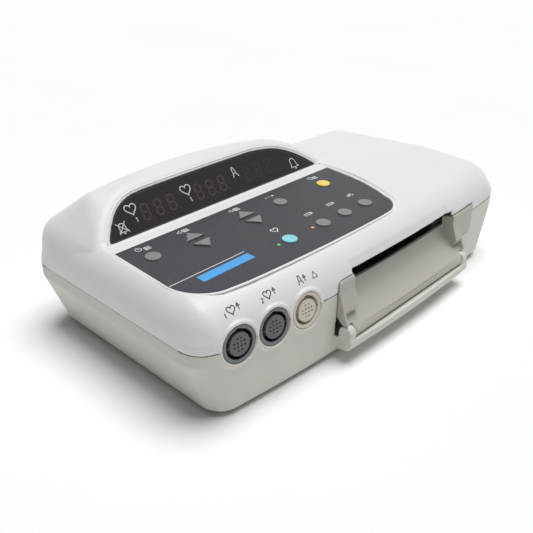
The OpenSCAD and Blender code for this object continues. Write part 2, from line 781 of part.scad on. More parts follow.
// Recorder frame: plates round the paper space, and a shield behind the door
paper_x = [slot_x - paper_w / 2 - 1.7, slot_x + paper_w / 2 + 1.7];
paper_floor = sill_top + 2;
side_top = 27;
shield_x = [door_left - frame_t, door_right + door_gap + frame_t];
shield_t = frame_t / 2;
roller_y = frame_front + 17;
roller_h = 19.5;
pinion_away = gear_m * (roller_teeth + pinion_teeth) / 2 + 0.1;
pinion_y = roller_y + pinion_away * cos(45);
pinion_h = roller_h - pinion_away * sin(45);
gear_w = 4;
gear_x = paper_x[0] - frame_t - 0.5 - gear_w;
motor_plate_x = [gear_x - 1.8 - shield_t, gear_x - 1.8];
motor_l = 20;
bush_r = 5.5;
module recorder_frame() {
    color("darkgray") difference() {
        union() {
            block([shield_x[0], paper_x[1] + frame_t], [frame_front, frame_back], [sill_top, paper_floor]);
            block(shield_x, [frame_front, frame_front + shield_t], [sill_top, 12]);
            block([shield_x[0], shield_x[0] + shield_t], [6, frame_front + tiny], [sill_top + 0.2, 11]);
            block([shield_x[1] - shield_t, shield_x[1]], [11, frame_front + tiny], [plate_low, plate_top]);
            for (x = [paper_x[0] - frame_t, paper_x[1]])
                block([x, x + frame_t], [frame_front, frame_back], [sill_top, side_top]);
            block(paper_x, [frame_back - frame_t, frame_back], [sill_top, -10]);
            block(motor_plate_x, [frame_front, pinion_y + motor_r + 2], [sill_top, side_top]);
        }
        block(paper_x, [frame_front - 1, frame_front + shield_t + tiny], [paper_floor, far]);
        rod([paper_x[0] - 2 * frame_t, paper_x[1] + 2 * frame_t], roller_y, roller_h, bush_r + run_gap);
        rod([motor_plate_x[0] - 1, motor_plate_x[1] + 1], pinion_y, pinion_h,
            gear_m * (pinion_teeth + 4) / 2);
        for (p = frame_bosses) post(p[0], p[1], [sill_top - 1, paper_floor + 1], screw_r);
    }
}
module frame_screws() {
    color("silver") for (p = frame_bosses) {
        post(p[0], p[1], [sill_top - 8, paper_floor], screw_r);
        post(p[0], p[1], [paper_floor, paper_floor + 1.6], head_r);
    }
}
module drive_roller() {
    color("black") difference() {
        rod([paper_x[0] + 1, paper_x[1] - 1], roller_y, roller_h, roller_r);
        rod([paper_x[0], paper_x[1]], roller_y, roller_h, shaft_r);
    }
}
module roller_shaft() {
    color("silver") rod([gear_x - 1, paper_x[1] + frame_t + 3], roller_y, roller_h, shaft_r);
}
module roller_bushes() {
    color("peru") for (x = [paper_x[0] - frame_t, paper_x[1]]) difference() {
        rod([x, x + frame_t], roller_y, roller_h, bush_r);
        rod([x - 1, x + frame_t + 1], roller_y, roller_h, shaft_r + run_gap);
    }
}

// Involute gear outline with one tooth centred on the angle at
pressure = 20;
backlash = 0.12;
function involute(w) = tan(w) * 180 / PI - w;
function half_tooth(teeth, r) = let (pitch = gear_m * teeth / 2, base = pitch * cos(pressure))
    90 / teeth - backlash / pitch * 28.6 + involute(pressure)
    - (r > base ? involute(acos(base / r)) : 0);
function gear_outline(teeth, at) = let (
    pitch = gear_m * teeth / 2,
    root = pitch - 1.25 * gear_m,
    tip = pitch + 0.95 * gear_m,
    steps = [root, max(root, pitch * cos(pressure)) + 0.05, pitch, (pitch + tip) / 2, tip]
) [for (i = [0:teeth - 1], side = [-1, 1], k = [0:4]) let (
    r = steps[side < 0 ? k : 4 - k],
    w = at + 360 * i / teeth + side * half_tooth(teeth, r)
) [r * cos(w), r * sin(w)]];
module gear(teeth, at, y, h, bore) {
    translate([gear_x, front_y + y, part_z + h]) rotate([90, 0, 90]) linear_extrude(gear_w) difference() {
        polygon(gear_outline(teeth, at));
        circle(bore);
    }
}
motor_shaft_r = 2;
module roller_gear() {
    color("ivory") gear(roller_teeth, -45, roller_y, roller_h, shaft_r);
}
module motor_pinion() {
    color("goldenrod") {
        gear(pinion_teeth, 135 + 180 / pinion_teeth, pinion_y, pinion_h, motor_shaft_r / 2);
        rod([motor_plate_x[0] - motor_l / 2, gear_x + gear_w], pinion_y, pinion_h, motor_shaft_r);
    }
}
module recorder_motor() {
    color("gray") difference() {
        rod([motor_plate_x[0] - motor_l, motor_plate_x[0]], pinion_y, pinion_h, motor_r);
        rod([motor_plate_x[0] - motor_l / 2, motor_plate_x[0] + 1], pinion_y, pinion_h,
            motor_shaft_r + run_gap);
    }
}
head_y = [roller_y - 7, roller_y + 7];
head_top = roller_h - roller_r - 0.3;
head_t = 2.7;
sink_t = 4;
fin_h = 7;
module print_head() {
    color("white") union() {
        block([paper_x[0] + 1, paper_x[1] - 1], head_y, [head_top - head_t, head_top - 0.3]);
        block([paper_x[0] + 2, paper_x[1] - 2], [roller_y - 1, roller_y + 1], [head_top - head_t, head_top]);
    }
}
module head_heat_sink() {
    low = head_top - head_t - sink_t;
    color("silver") union() {
        block(paper_x, [head_y[0] - 2, head_y[1] + 4], [low, low + sink_t]);
        for (i = [0:5]) block(paper_x, [head_y[0] - 2 + i * 3.6, head_y[0] - 0.6 + i * 3.6],
            [low - fin_h, low + tiny]);
    }
}

// Boards and power
board_h = [-60, -60 + board_t];
main_x = [-70, 158];
main_y = [30, 92];
power_x = [-40, 68];
power_y = [150, 236];
input_x = [socket_first + 12.5, socket_first + 90.5];
input_y = [37, 110];
input_h = -40;
module part_row(x, step, count, y, h, size) {
    for (i = [0:count - 1]) block([x + i * step, x + i * step + size[0]], [y, y + size[1]], [h, h + size[2]]);
}
module main_board() {
    color("darkgreen") union() {
        block(main_x, main_y, board_h);
        part_row(main_x[0] + 20, 44, 4, main_y[0] + 14, board_h[1], [24, 24, 3]);
        part_row(main_x[0] + 18, 20, 10, main_y[0] + 44, board_h[1], [8, 14, 4]);
    }
}
module input_board() {
    color("darkgreen") union() {
        block(input_x, input_y, [input_h, input_h + board_t]);
        part_row(input_x[0] + 8, 22, 3, input_y[0] + 8, input_h + board_t, [18, 26, 12]);
        part_row(input_x[0] + 8, 12, 6, input_y[0] + 46, input_h + board_t, [7, 12, 3]);
    }
}
module power_board() {
    color("darkgreen") union() {
        block(power_x, power_y, board_h);
        for (x = [power_x[0] + 16, power_x[0] + 44]) post(x, power_y[0] + 22, [board_h[0], board_h[1] + 32], 11);
        block([power_x[0] + 60, power_x[0] + 100], [power_y[0] + 12, power_y[0] + 18], [board_h[0], -26]);
        part_row(power_x[0] + 10, 24, 4, power_y[0] + 50, board_h[1], [16, 20, 14]);
    }
}
transformer_x = [92, 152];
transformer_y = [158, 212];
module transformer() {
    color("saddlebrown") union() {
        block(transformer_x, [transformer_y[0] + 12, transformer_y[1] - 12], [floor_h() + wall, -18]);
        block([transformer_x[0] + 12, transformer_x[1] - 12], transformer_y, [floor_h() + wall + 8, -26]);
        block([transformer_x[0] - 8, transformer_x[1] + 8], [transformer_y[0] + 16, transformer_y[1] - 16],
            [floor_h() + wall, floor_h() + wall + 2]);
    }
}
module corner_posts(x, y, top) {
    for (px = [x[0] + 5, x[1] - 5], py = [y[0] + 5, y[1] - 5])
        post(px, py, [floor_h() + wall, top], 3);
}
module board_spacers() {
    color("ivory") {
        corner_posts(main_x, main_y, board_h[0]);
        corner_posts(power_x, power_y, board_h[0]);
        corner_posts(input_x, input_y, input_h);
    }
}
module speaker() {
    color("dimgray") translate([speaker_at[0], front_y + speaker_at[1], foot_h + wall]) rotate_extrude()
        polygon([[0, 4], [10, 3], [30, 0.5], [30, 0], [36, 0], [36, 2], [31, 3], [17, 15], [20, 15], [20, 27],
            [0, 27]]);
}

// Rear plate with its fittings
fit_h = (pocket_h[0] + pocket_h[1]) / 2;
inlet_x = 76;
inlet_w = 14;
inlet_h = [-51, -20];
recess_h = [-38.5, -22.5];
drawer_h = [-49.5, -43.5];
drawer_w = 12;
switch_x = 107;
switch_half = [11, 14];
rocker_half = [8.3, 10];
rocker_y = pocket_y - 4;
plug_places = [-95, -52, -9];
post_x = 35;
flange_out = 2;
module rear_panel() {
    color("silver") difference() {
        block([-rear_w / 2, rear_w / 2], [pocket_y - rear_t, pocket_y], pocket_h);
        block([inlet_x - inlet_w - fit, inlet_x + inlet_w + fit], [pocket_y - 5, far],
            [inlet_h[0] - fit, inlet_h[1] + fit]);
        block([switch_x - switch_half[0] - fit, switch_x + switch_half[0] + fit], [pocket_y - 5, far],
            [fit_h - switch_half[1] - fit, fit_h + switch_half[1] + fit]);
        for (x = plug_places) block([x - 9.5, x + 9.5], [pocket_y - 5, far], [fit_h - 5, fit_h + 5]);
        rod_back(post_x, [pocket_y - 5, far], fit_h, post_r);
    }
}
module mains_inlet() {
    color([0.1, 0.1, 0.1]) difference() {
        union() {
            block([inlet_x - inlet_w, inlet_x + inlet_w], [pocket_y - 25, pocket_y], inlet_h);
            block([inlet_x - inlet_w - 2, inlet_x + inlet_w + 2], [pocket_y, pocket_y + flange_out],
                [inlet_h[0] - 2, inlet_h[1] + 2]);
        }
        difference() {
            block([inlet_x - drawer_w, inlet_x + drawer_w], [pocket_y - 15, far], recess_h);
            for (i = [-1:1]) block([inlet_x + 7 * i - 1, inlet_x + 7 * i + 1], [pocket_y - 16, pocket_y - 3],
                [-32.5 + (i == 0 ? 3 : 0), -28.5 + (i == 0 ? 3 : 0)]);
        }
        block([inlet_x - drawer_w - run_gap, inlet_x + drawer_w + run_gap], [pocket_y - 21, far],
            [drawer_h[0] - run_gap, drawer_h[1] + run_gap]);
    }
}
module fuse_drawer() {
    color([0.15, 0.15, 0.15]) union() {
        block([inlet_x - drawer_w, inlet_x + drawer_w], [pocket_y - 20, pocket_y + flange_out], drawer_h);
        block([inlet_x - 5, inlet_x + 5], [pocket_y, pocket_y + flange_out + 1], [drawer_h[0] + 2, drawer_h[1] - 2]);
    }
}
module switch_housing() {
    color([0.1, 0.1, 0.1]) difference() {
        union() {
            block([switch_x - switch_half[0], switch_x + switch_half[0]], [pocket_y - 20, pocket_y],
                [fit_h - switch_half[1], fit_h + switch_half[1]]);
            block([switch_x - switch_half[0] - 1, switch_x + switch_half[0] + 1],
                [pocket_y, pocket_y + flange_out / 2],
                [fit_h - switch_half[1] - 1, fit_h + switch_half[1] + 1]);
        }
        block([switch_x - rocker_half[0] - 0.3, switch_x + rocker_half[0] + 0.3], [pocket_y - 12, far],
            [fit_h - rocker_half[1] - 1.2, fit_h + rocker_half[1] + 1.2]);
        rod([switch_x - rocker_half[0] - 1.5, switch_x + rocker_half[0] + 1.5], rocker_y, fit_h,
            1.5 + run_gap);
    }
}
module power_rocker() {
    color("black") union() {
        translate([switch_x - rocker_half[0], front_y + rocker_y, part_z + fit_h])
            rotate([90 - rocker_tilt, 0, 0]) rotate([0, 90, 0]) linear_extrude(2 * rocker_half[0])
                polygon([[-3, -rocker_half[1]], [4.5, -rocker_half[1]], [5.6, 0],
                    [4.5, rocker_half[1]], [-3, rocker_half[1]]]);
        rod([switch_x - rocker_half[0] - 1.4, switch_x + rocker_half[0] + 1.4], rocker_y, fit_h, 1.5);
    }
}
module data_sockets() {
    color("silver") for (x = plug_places) difference() {
        union() {
            block([x - 15.5, x + 15.5], [pocket_y, pocket_y + 1], [fit_h - 6.2, fit_h + 6.2]);
            block([x - 9.4, x + 9.4], [pocket_y - 8, pocket_y + 0.5], [fit_h - 4.9, fit_h + 4.9]);
            translate([x, front_y + pocket_y + 3, part_z + fit_h]) rotate([90, 0, 0]) linear_extrude(3)
                polygon([[-7.6, -4], [7.6, -4], [8.6, 4], [-8.6, 4]]);
        }
        for (i = [0:8]) rod_back(x - 5.5 + 2.75 * (i % 5) + (i > 4 ? 1.4 : 0), [pocket_y - 3, far],
            fit_h + (i > 4 ? -1.4 : 1.4), 0.6);
    }
}
module earth_post() {
    color("gold") {
        rod_back(post_x, [pocket_y - 6, pocket_y + 11], fit_h, post_r);
        translate([post_x, front_y + pocket_y, part_z + fit_h]) rotate([-90, 0, 0])
            cylinder(r = 2 * post_r, h = 3, $fn = 6);
    }
}

// Feet and case screws
module rubber_feet() {
    color([0.15, 0.15, 0.15]) for (p = foot_places)
        post(p[0], p[1], [-part_z, floor_h() + foot_seat], foot_r);
}
module case_screws() {
    color("silver") for (p = screw_places) {
        post(p[0], p[1], [screw_seat, screw_bite], screw_r);
        post(p[0], p[1], [screw_seat - head_h, screw_seat], head_r);
    }
}

top_cover();
bottom_case();
rear_panel();
recorder_door();
door_hinge_pins();
door_catches();
display_window();
display_board();
digit_module_left();
digit_module_middle();
digit_module_right();
keypad_sheet();
keypad_board();
key_switches();
key_top_left();
key_top_middle();
key_yellow();
key_turquoise();
key_low_left();
key_low_middle();
key_low_right();
key_up_left();
key_down_left();
key_up_right();
key_down_right();
led_green();
led_amber();
socket_shell_left();
socket_shell_middle();
socket_shell_right();
socket_insert_left();
socket_insert_middle();
socket_insert_right();
socket_nuts();
input_board();
recorder_frame();
frame_screws();
drive_roller();
roller_shaft();
roller_bushes();
roller_gear();
motor_pinion();
recorder_motor();
print_head();
head_heat_sink();
main_board();
board_spacers();
power_board();
transformer();
speaker();
mains_inlet();
fuse_drawer();
switch_housing();
power_rocker();
data_sockets();
earth_post();
rubber_feet();
case_screws();
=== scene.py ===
# Desk-top fetal heart monitor with a chart recorder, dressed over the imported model.
import math
import bmesh
import bpy
from mathutils import Matrix, Vector
from mathutils.bvhtree import BVHTree


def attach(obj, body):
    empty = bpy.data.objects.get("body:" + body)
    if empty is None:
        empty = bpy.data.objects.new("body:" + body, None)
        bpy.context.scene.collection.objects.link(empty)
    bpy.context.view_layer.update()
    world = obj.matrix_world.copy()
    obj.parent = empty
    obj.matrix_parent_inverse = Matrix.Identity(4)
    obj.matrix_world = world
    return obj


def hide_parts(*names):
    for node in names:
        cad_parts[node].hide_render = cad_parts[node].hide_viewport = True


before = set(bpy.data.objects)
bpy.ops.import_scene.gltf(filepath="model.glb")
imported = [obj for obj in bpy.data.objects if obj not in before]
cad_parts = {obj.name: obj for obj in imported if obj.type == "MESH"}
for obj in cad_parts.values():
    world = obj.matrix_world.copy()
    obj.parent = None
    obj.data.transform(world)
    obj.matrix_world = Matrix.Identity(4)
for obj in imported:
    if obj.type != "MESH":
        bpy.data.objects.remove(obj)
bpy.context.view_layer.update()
print("frame loaded:", len(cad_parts), "nodes")

# Main sizes of the case in mm: x from its middle, y behind the front's crest, h above the parting line
caseSize = dict(width=468, depth=263, partingZ=72, frontY=-122.75, deckH=42, wall=3, cornerR=26, bow=10.8,
                taper=17, edgeIn=38, edgeLeft=24, edgeH=34, footH=2)
bowR = (caseSize["width"] / 2 - caseSize["cornerR"]) ** 2 / (2 * caseSize["bow"])
half = caseSize["width"] / 2
cornerR, edgeIn, edgeLeft = caseSize["cornerR"], caseSize["edgeIn"], caseSize["edgeLeft"]
deckTop, edgeH, wall = caseSize["deckH"], caseSize["edgeH"], caseSize["wall"]


def bow(x):
    return x * x / (2 * bowR)


def back(x):
    return caseSize["depth"] - bow(x) / 3


def place(x, y, h):
    return Vector((x, caseSize["frontY"] + y, caseSize["partingZ"] + h)) / 1000


def span(low, high, count):
    return [low + (high - low) * i / (count - 1) for i in range(count)]


def arc(x, y, r, start, end, count):
    # points of a round stretch, its ends in degrees
    return [(x + r * math.cos(math.radians(w)), y + r * math.sin(math.radians(w)))
            for w in span(start, end, count)]


def leaned(degrees):
    return Matrix.Rotation(math.radians(degrees), 4, "X")


def onFront(x, y, h, lean):
    # a spot of the bowed front, its Z out of the case when it leans 90 degrees
    upright = Matrix.Translation(place(x, bow(x) + y, h)) @ Matrix.Rotation(math.atan(x / bowR), 4, "Z")
    return upright @ leaned(lean)


onCase = Matrix.Translation(place(0, 0, 0))
# sections of the door are drawn in x and h and cut from front to back
onDoor = Matrix.Translation(place(0, 15, 0)) @ Matrix.Rotation(math.pi / 2, 4, "X")


# Mesh tools


def linked(name, mesh):
    piece = bpy.data.objects.new(name, mesh)
    bpy.context.collection.objects.link(piece)
    return piece


def newPiece(name, points, faces):
    mesh = bpy.data.meshes.new(name)
    mesh.from_pydata([tuple(p) for p in points], [], faces)
    return linked(name, mesh)


def shrinkWrapOf(name, points):
    # the smallest rounded body round all the points, as a moulded case's form
    bm = bmesh.new()
    for p in points:
        bm.verts.new(p)
    bmesh.ops.convex_hull(bm, input=bm.verts, use_existing_faces=False)
    loose = [v for v in bm.verts if not v.link_faces]
    bmesh.ops.delete(bm, geom=loose, context="VERTS")
    bmesh.ops.recalc_face_normals(bm, faces=bm.faces)
    mesh = bpy.data.meshes.new(name)
    bm.to_mesh(mesh)
    bm.free()
    return linked(name, mesh)


def ball(centre, rx, ry, rz, turn=None, around=36, up=18):
    # points of an ellipsoid, in metres, with its radii in mm
    out = []
    for i in range(up + 1):
        a = math.pi * (i / up - 0.5)
        for j in range(around if 0 < i < up else 1):
            b = 2 * math.pi * j / around
            p = Vector((rx * math.cos(a) * math.cos(b), ry * math.cos(a) * math.sin(b),
                        rz * math.sin(a))) / 1000
            out.append(centre + (turn @ p if turn else p))
    return out


def drum(x, y, h0, h1, r, around=64):
    out = []
    for j in range(around):
        b = 2 * math.pi * j / around
        for h in (h0, h1):
            out.append(place(x + r * math.cos(b), y + r * math.sin(b), h))
    return out


def areaOf(outline):
    n = len(outline)
    return sum(outline[i][0] * outline[(i + 1) % n][1] - outline[(i + 1) % n][0] * outline[i][1]
               for i in range(n))


def tubeFaces(steps, n):
    # faces between rings of n points each, with both ends closed
    faces = [[i * n + j, i * n + (j + 1) % n, (i + 1) * n + (j + 1) % n, (i + 1) * n + j]
             for i in range(steps) for j in range(n)]
    return faces + [list(range(n))[::-1], [steps * n + j for j in range(n)]]


def prism(name, outline, low, high, matrix):
    # a closed slab of the outline, in mm, in the plane that matrix gives
    n = len(outline)
    points = [matrix @ (Vector((p[0], p[1], z)) / 1000) for z in (low, high) for p in outline]
    faces = [list(range(n))[::-1], [n + i for i in range(n)]]
    faces += [[i, (i + 1) % n, n + (i + 1) % n, n + i] for i in range(n)]
    if areaOf(outline) < 0:
        faces = [f[::-1] for f in faces]
    return newPiece(name, points, faces)


def circleOf(r, count=96, x=0, y=0):
    return [(x + r * math.cos(2 * math.pi * i / count), y + r * math.sin(2 * math.pi * i / count))
            for i in range(count)]


def bowedBar(name, profile, x0, x1, steps=24):
    # a closed section in y and h, swept along the front's bow
    if areaOf(profile) < 0:
        profile = profile[::-1]
    points = []
    for x in span(x0, x1, steps + 1):
        w = x / bowR
        for y, h in profile:
            r = bowR - y
            points.append(place(r * math.sin(w), bowR - r * math.cos(w), h))
    piece = newPiece(name, points, tubeFaces(steps, len(profile)))
    faceOut(piece)
    return piece


def faceOut(piece):
    bm = bmesh.new()
    bm.from_mesh(piece.data)
    bmesh.ops.recalc_face_normals(bm, faces=bm.faces)
    bm.to_mesh(piece.data)
    bm.free()


def boxOf(name, x, y, z, matrix=onCase):
    return prism(name, [(x[0], y[0]), (x[1], y[0]), (x[1], y[1]), (x[0], y[1])], z[0], z[1], matrix)


def rod(name, start, end, r, around=64):
    # a round bar between two points in metres, r in mm
    axis = (end - start).normalized()
    side = axis.orthogonal().normalized()
    other = axis.cross(side)
    points = []
    for middle in (start, end):
        for j in range(around):
            b = 2 * math.pi * j / around
            points.append(middle + (side * math.cos(b) + other * math.sin(b)) * r / 1000)
    piece = newPiece(name, points, tubeFaces(1, around))
    faceOut(piece)
    return piece


def lathe(name, profile, matrix, around=96):
    # a closed profile in r and z, in mm, turned about the local Z
    n = len(profile)
    points, faces = [], []
    for i in range(around):
        b = 2 * math.pi * i / around
        for r, z in profile:
            points.append(matrix @ (Vector((r * math.cos(b), r * math.sin(b), z)) / 1000))
    for i in range(around):
        k = (i + 1) % around
        faces += [[i * n + j, k * n + j, k * n + (j + 1) % n, i * n + (j + 1) % n] for j in range(n)]
    piece = newPiece(name, points, faces)
    bm = bmesh.new()
    bm.from_mesh(piece.data)
    bmesh.ops.remove_doubles(bm, verts=bm.verts, dist=1e-7)
    bmesh.ops.delete(bm, geom=[e for e in bm.edges if not e.link_faces], context="EDGES")
    bmesh.ops.recalc_face_normals(bm, faces=bm.faces)
    bm.to_mesh(piece.data)
    bm.free()
    return piece


def applied(piece):
    # leaves what the modifiers make as the piece's own mesh
    graph = bpy.context.evaluated_depsgraph_get()
    graph.update()
    mesh = bpy.data.meshes.new_from_object(piece.evaluated_get(graph))
    piece.modifiers.clear()
    piece.data = mesh
    return piece


def carve(piece, tools, way="DIFFERENCE"):
    for tool in tools:
        cut = piece.modifiers.new("cut", "BOOLEAN")
        cut.operation = way
        cut.object = tool
        cut.solver = "EXACT"
    applied(piece)
    for tool in tools:
        bpy.data.objects.remove(tool)
    return piece


def mould(piece, grid, rounds, most=190000):
    # rounds every edge a little, as a mould does
    remesh = piece.modifiers.new("grid", "REMESH")
    remesh.mode = "VOXEL"
    remesh.voxel_size = grid / 1000
    soft = piece.modifiers.new("soft", "SMOOTH")
    soft.factor = 0.5
    soft.iterations = rounds
    applied(piece)
    count = sum(len(f.vertices) - 2 for f in piece.data.polygons)
    if count > most:
        fewer = piece.modifiers.new("fewer", "DECIMATE")
        fewer.ratio = most / count
        applied(piece)
    piece.data.shade_smooth()
    return piece


def softEdges(piece, degrees):
    # smooth faces, with the sharper edges kept
    bm = bmesh.new()
    bm.from_mesh(piece.data)
    for face in bm.faces:
        face.smooth = True
    for edge in bm.edges:
        edge.smooth = not edge.is_manifold or edge.calc_face_angle(0) < math.radians(degrees)
    bm.to_mesh(piece.data)
    bm.free()


def rounded(piece, mm, steps):
    edge = piece.modifiers.new("edge", "BEVEL")
    edge.width = mm / 1000
    edge.segments = steps
    applied(piece)
    softEdges(piece, 30)


def fine(line, step):
    # the same line with no stretch longer than the step
    out = [tuple(line[0])]
    for a, b in zip(line, line[1:]):
        count = max(1, math.ceil(math.hypot(b[0] - a[0], b[1] - a[1]) / step))
        out += [(a[0] + (b[0] - a[0]) * i / count, a[1] + (b[1] - a[1]) * i / count)
                for i in range(1, count + 1)]
    return out


def ribbon(line, width):
    # points and faces of a flat stroke along a line in mm
    closed = line[0] == line[-1]
    if closed:
        line = line[:-1]
    n = len(line)
    near, far = [], []
    for i in range(n):
        spot = Vector(line[i])
        before = Vector(line[i - 1]) if closed or i else None
        after = Vector(line[(i + 1) % n]) if closed or i < n - 1 else None
        steps = ((spot - before) if before else None, (after - spot) if after else None)
        ways = [w.normalized() for w in steps if w]
        way = sum(ways, Vector((0, 0)))
        way = way.normalized() if way.length > 1e-4 else ways[0]
        side = Vector((-way.y, way.x))
        side *= width / 2 / max(0.5, abs(way.dot(ways[0])))
        near.append(spot + side)
        far.append(spot - side)
    faces = [[i, n + i, n + (i + 1) % n, (i + 1) % n] for i in range(n if closed else n - 1)]
    return near + far, faces


def dress(piece, material, body="case"):
    piece.data.materials.clear()
    piece.data.materials.append(material)
    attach(piece, body)
    return piece


# mm: how far marks stand off their face, and the longest stretch that follows a curved one
ink = dict(height=0.05, step=1.2)


def printed(name, marks, matrix, material, height=ink["height"], on=None):
    # thin ink marks: strokes with a width, or filled outlines with none, laid on a face
    points, faces = [], []
    for line, width in marks:
        base = len(points)
        if width:
            spots, rows = ribbon(fine(line, ink["step"]) if on else line, width)
        else:
            spots, rows = line, [list(range(len(line)))]
        points += [Vector((p[0], p[1], height)) / 1000 for p in spots]
        faces += [[base + i for i in row] for row in rows]
    points = [matrix @ p for p in points]
    if on:
        up = (matrix.to_3x3() @ Vector((0, 0, 1))).normalized()
        tree = BVHTree.FromObject(on, bpy.context.evaluated_depsgraph_get())
        for i, p in enumerate(points):
            hit, normal = tree.ray_cast(p + up * 0.03, -up)[:2]
            points[i] = hit + normal * height / 1000
    return dress(newPiece(name, points, faces), material)


# Materials


def linear(code):
    out = []
    for i in (1, 3, 5):
        v = int(code[i:i + 2], 16) / 255
        out.append(v / 12.92 if v <= 0.04045 else ((v + 0.055) / 1.055) ** 2.4)
    return (*out, 1)


def addNode(tree, kind, settings=None, links=None):
    node = tree.nodes.new("ShaderNode" + kind)
    for key, value in (settings or {}).items():
        if isinstance(key, int) or key in node.inputs:
            node.inputs[key].default_value = value
        else:
            setattr(node, key, value)
    for key, source in (links or {}).items():
        tree.links.new(source, node.inputs[key])
    return node


def startMaterial(name):
    material = bpy.data.materials.new(name)
    material.use_nodes = True
    tree = material.node_tree
    tree.nodes.clear()
    shader = addNode(tree, "BsdfPrincipled")
    addNode(tree, "OutputMaterial", links={"Surface": shader.outputs[0]})
    where = addNode(tree, "TexCoord").outputs["Object"]
    return material, tree, shader, where


def surface(name, dark, light, roughness, grainMm=0.5, bumpMm=0.02, patchMm=40, metallic=0, roughSpread=0.08,
            speck=None, speckMm=0.6, coat=0, stretch=(1, 1, 1)):
    # two close tones in soft patches, a fine grain that bumps, and a roughness that wanders
    material, tree, shader, where = startMaterial(name)
    pull = addNode(tree, "Mapping", {"Scale": stretch}, {"Vector": where}).outputs[0]
    patch = addNode(tree, "TexNoise", {"Scale": 1000 / patchMm, "Detail": 3.0}, {"Vector": where})
    grain = addNode(tree, "TexNoise", {"Scale": 1000 / grainMm, "Detail": 2.0}, {"Vector": pull})
    blend = addNode(tree, "Mix", {"data_type": "RGBA", 6: linear(dark), 7: linear(light)},
                    {0: patch.outputs[0]})
    colour = blend.outputs[2]
    if speck:
        dots = addNode(tree, "TexNoise", {"Scale": 1000 / speckMm, "Detail": 1.0},
                       {"Vector": where})
        edge = addNode(tree, "MapRange", {"From Min": 0.52, "From Max": 0.66, "To Max": 0.75},
                       {"Value": dots.outputs[0]})
        colour = addNode(tree, "Mix", {"data_type": "RGBA", 7: linear(speck)},
                         {0: edge.outputs[0], 6: colour}).outputs[2]
    spread = {"To Min": roughness - roughSpread, "To Max": roughness + roughSpread}
    rough = addNode(tree, "MapRange", spread, {"Value": patch.outputs[0]})
    bump = addNode(tree, "Bump", {"Strength": 0.6, "Distance": bumpMm / 1000},
                   {"Height": grain.outputs[0]})
    tree.links.new(colour, shader.inputs["Base Color"])
    tree.links.new(rough.outputs[0], shader.inputs["Roughness"])
    tree.links.new(bump.outputs[0], shader.inputs["Normal"])
    shader.inputs["Metallic"].default_value = metallic
    shader.inputs["Coat Weight"].default_value = coat
    return material


# moulded ABS, spark-eroded tool: an even pale satin that takes broad soft highlights
mouldedAbs = surface("mouldedAbs", "#e3e2e3", "#e9e8e9", 0.42, grainMm=0.7, bumpMm=0.03)
# the same resin for the base, a little warmer and greyer
mouldedBase = surface("mouldedBase", "#d0cec6", "#d7d5cd", 0.46, grainMm=0.7, bumpMm=0.03)
# moulded door: the resin a little yellower than the shells, painted darker as painted shade from the brow
# above it
doorResinPaintedShade = surface("doorResinPaintedShade", "#b2afa5", "#b9b6ac", 0.42, grainMm=0.7, bumpMm=0.03)
# screen-printed polyester film: slate, with a fine pale fleck of the matt ink
printedFilm = surface("printedFilm", "#2a2c32", "#303238", 0.5, grainMm=0.6, speck="#3f4148", speckMm=1.1)
printedFilm.node_tree.nodes["Principled BSDF"].inputs["Specular IOR Level"].default_value = 0.35
# silicone keys: soft grey, almost no gloss
siliconeGrey = surface("siliconeGrey", "#7b7b7d", "#848486", 0.55, grainMm=0.4)
# the two coloured keys: the same rubber, bright against the slate film
siliconeYellow = surface("siliconeYellow", "#ebcf58", "#f1d866", 0.5, grainMm=0.4)
siliconeTurquoise = surface("siliconeTurquoise", "#86d5de", "#92dde5", 0.5, grainMm=0.4)
# screen inks on the film and the case: flat, sharp-edged, without gloss
inkWhite = surface("inkWhite", "#e9e9ea", "#f1f1f1", 0.5, grainMm=0.5, bumpMm=0.01)
inkBlue = surface("inkBlue", "#3f9fe4", "#4aa9ec", 0.45, grainMm=0.5, bumpMm=0.01)
inkBlack = surface("inkBlack", "#26272a", "#2f3033", 0.55, grainMm=0.5, bumpMm=0.01)
# glass-filled nylon connector bodies: near black and dull, with a paler insert or all in cream
socketNylon = surface("socketNylon", "#1b1c1e", "#232427", 0.45, grainMm=0.5, bumpMm=0.03)
socketGrey = surface("socketGrey", "#55585b", "#5f6265", 0.5, grainMm=0.5, bumpMm=0.02)
socketCream = surface("socketCream", "#cfc8b8", "#d8d2c4", 0.48, grainMm=0.5, bumpMm=0.02)
# zinc-plated sheet with faint rolling lines, ground shafts that gleam, and a drawn heat sink
zincSteel = surface("zincSteel", "#a9abad", "#b6b8ba", 0.36, grainMm=0.5, metallic=1, stretch=(0.08, 1, 1))
groundSteel = surface("groundSteel", "#b9bbbd", "#c6c8ca", 0.22, grainMm=0.3, metallic=1, stretch=(0.2, 1, 1))
brushedAluminium = surface("brushedAluminium", "#bfc1c3", "#cbcdcf", 0.34, grainMm=0.35, metallic=1,
                           stretch=(0.05, 1, 1))
# bushes with the dull brown of sintered metal, and the turned brass of small fittings
sinteredBronze = surface("sinteredBronze", "#a37a4b", "#b08758", 0.45, grainMm=0.4, metallic=1)
turnedBrass = surface("turnedBrass", "#c7a55a", "#d3b26a", 0.28, grainMm=0.3, metallic=1)
# uncoated nylon gear and spacers: ivory, a little waxy
mouldedNylon = surface("mouldedNylon", "#dedacb", "#e6e2d5", 0.45, grainMm=0.5)
# ground rubber drinks the light; the boards' green lacquer gives it back
groundRubber = surface("groundRubber", "#1c1c1d", "#252526", 0.75, grainMm=0.3, bumpMm=0.05)
solderMask = surface("solderMask", "#12502b", "#185c34", 0.3, grainMm=1.2, bumpMm=0.02, coat=0.3)
# brown varnish over the core's thin sheets, and grey enamel on the motor's can
varnishedCore = surface("varnishedCore", "#4a3b2e", "#5b4a3a", 0.4, grainMm=0.6, bumpMm=0.05,
                        stretch=(1, 6, 1))
enamelledSteel = surface("enamelledSteel", "#4b4d51", "#55575b", 0.4, grainMm=0.8)
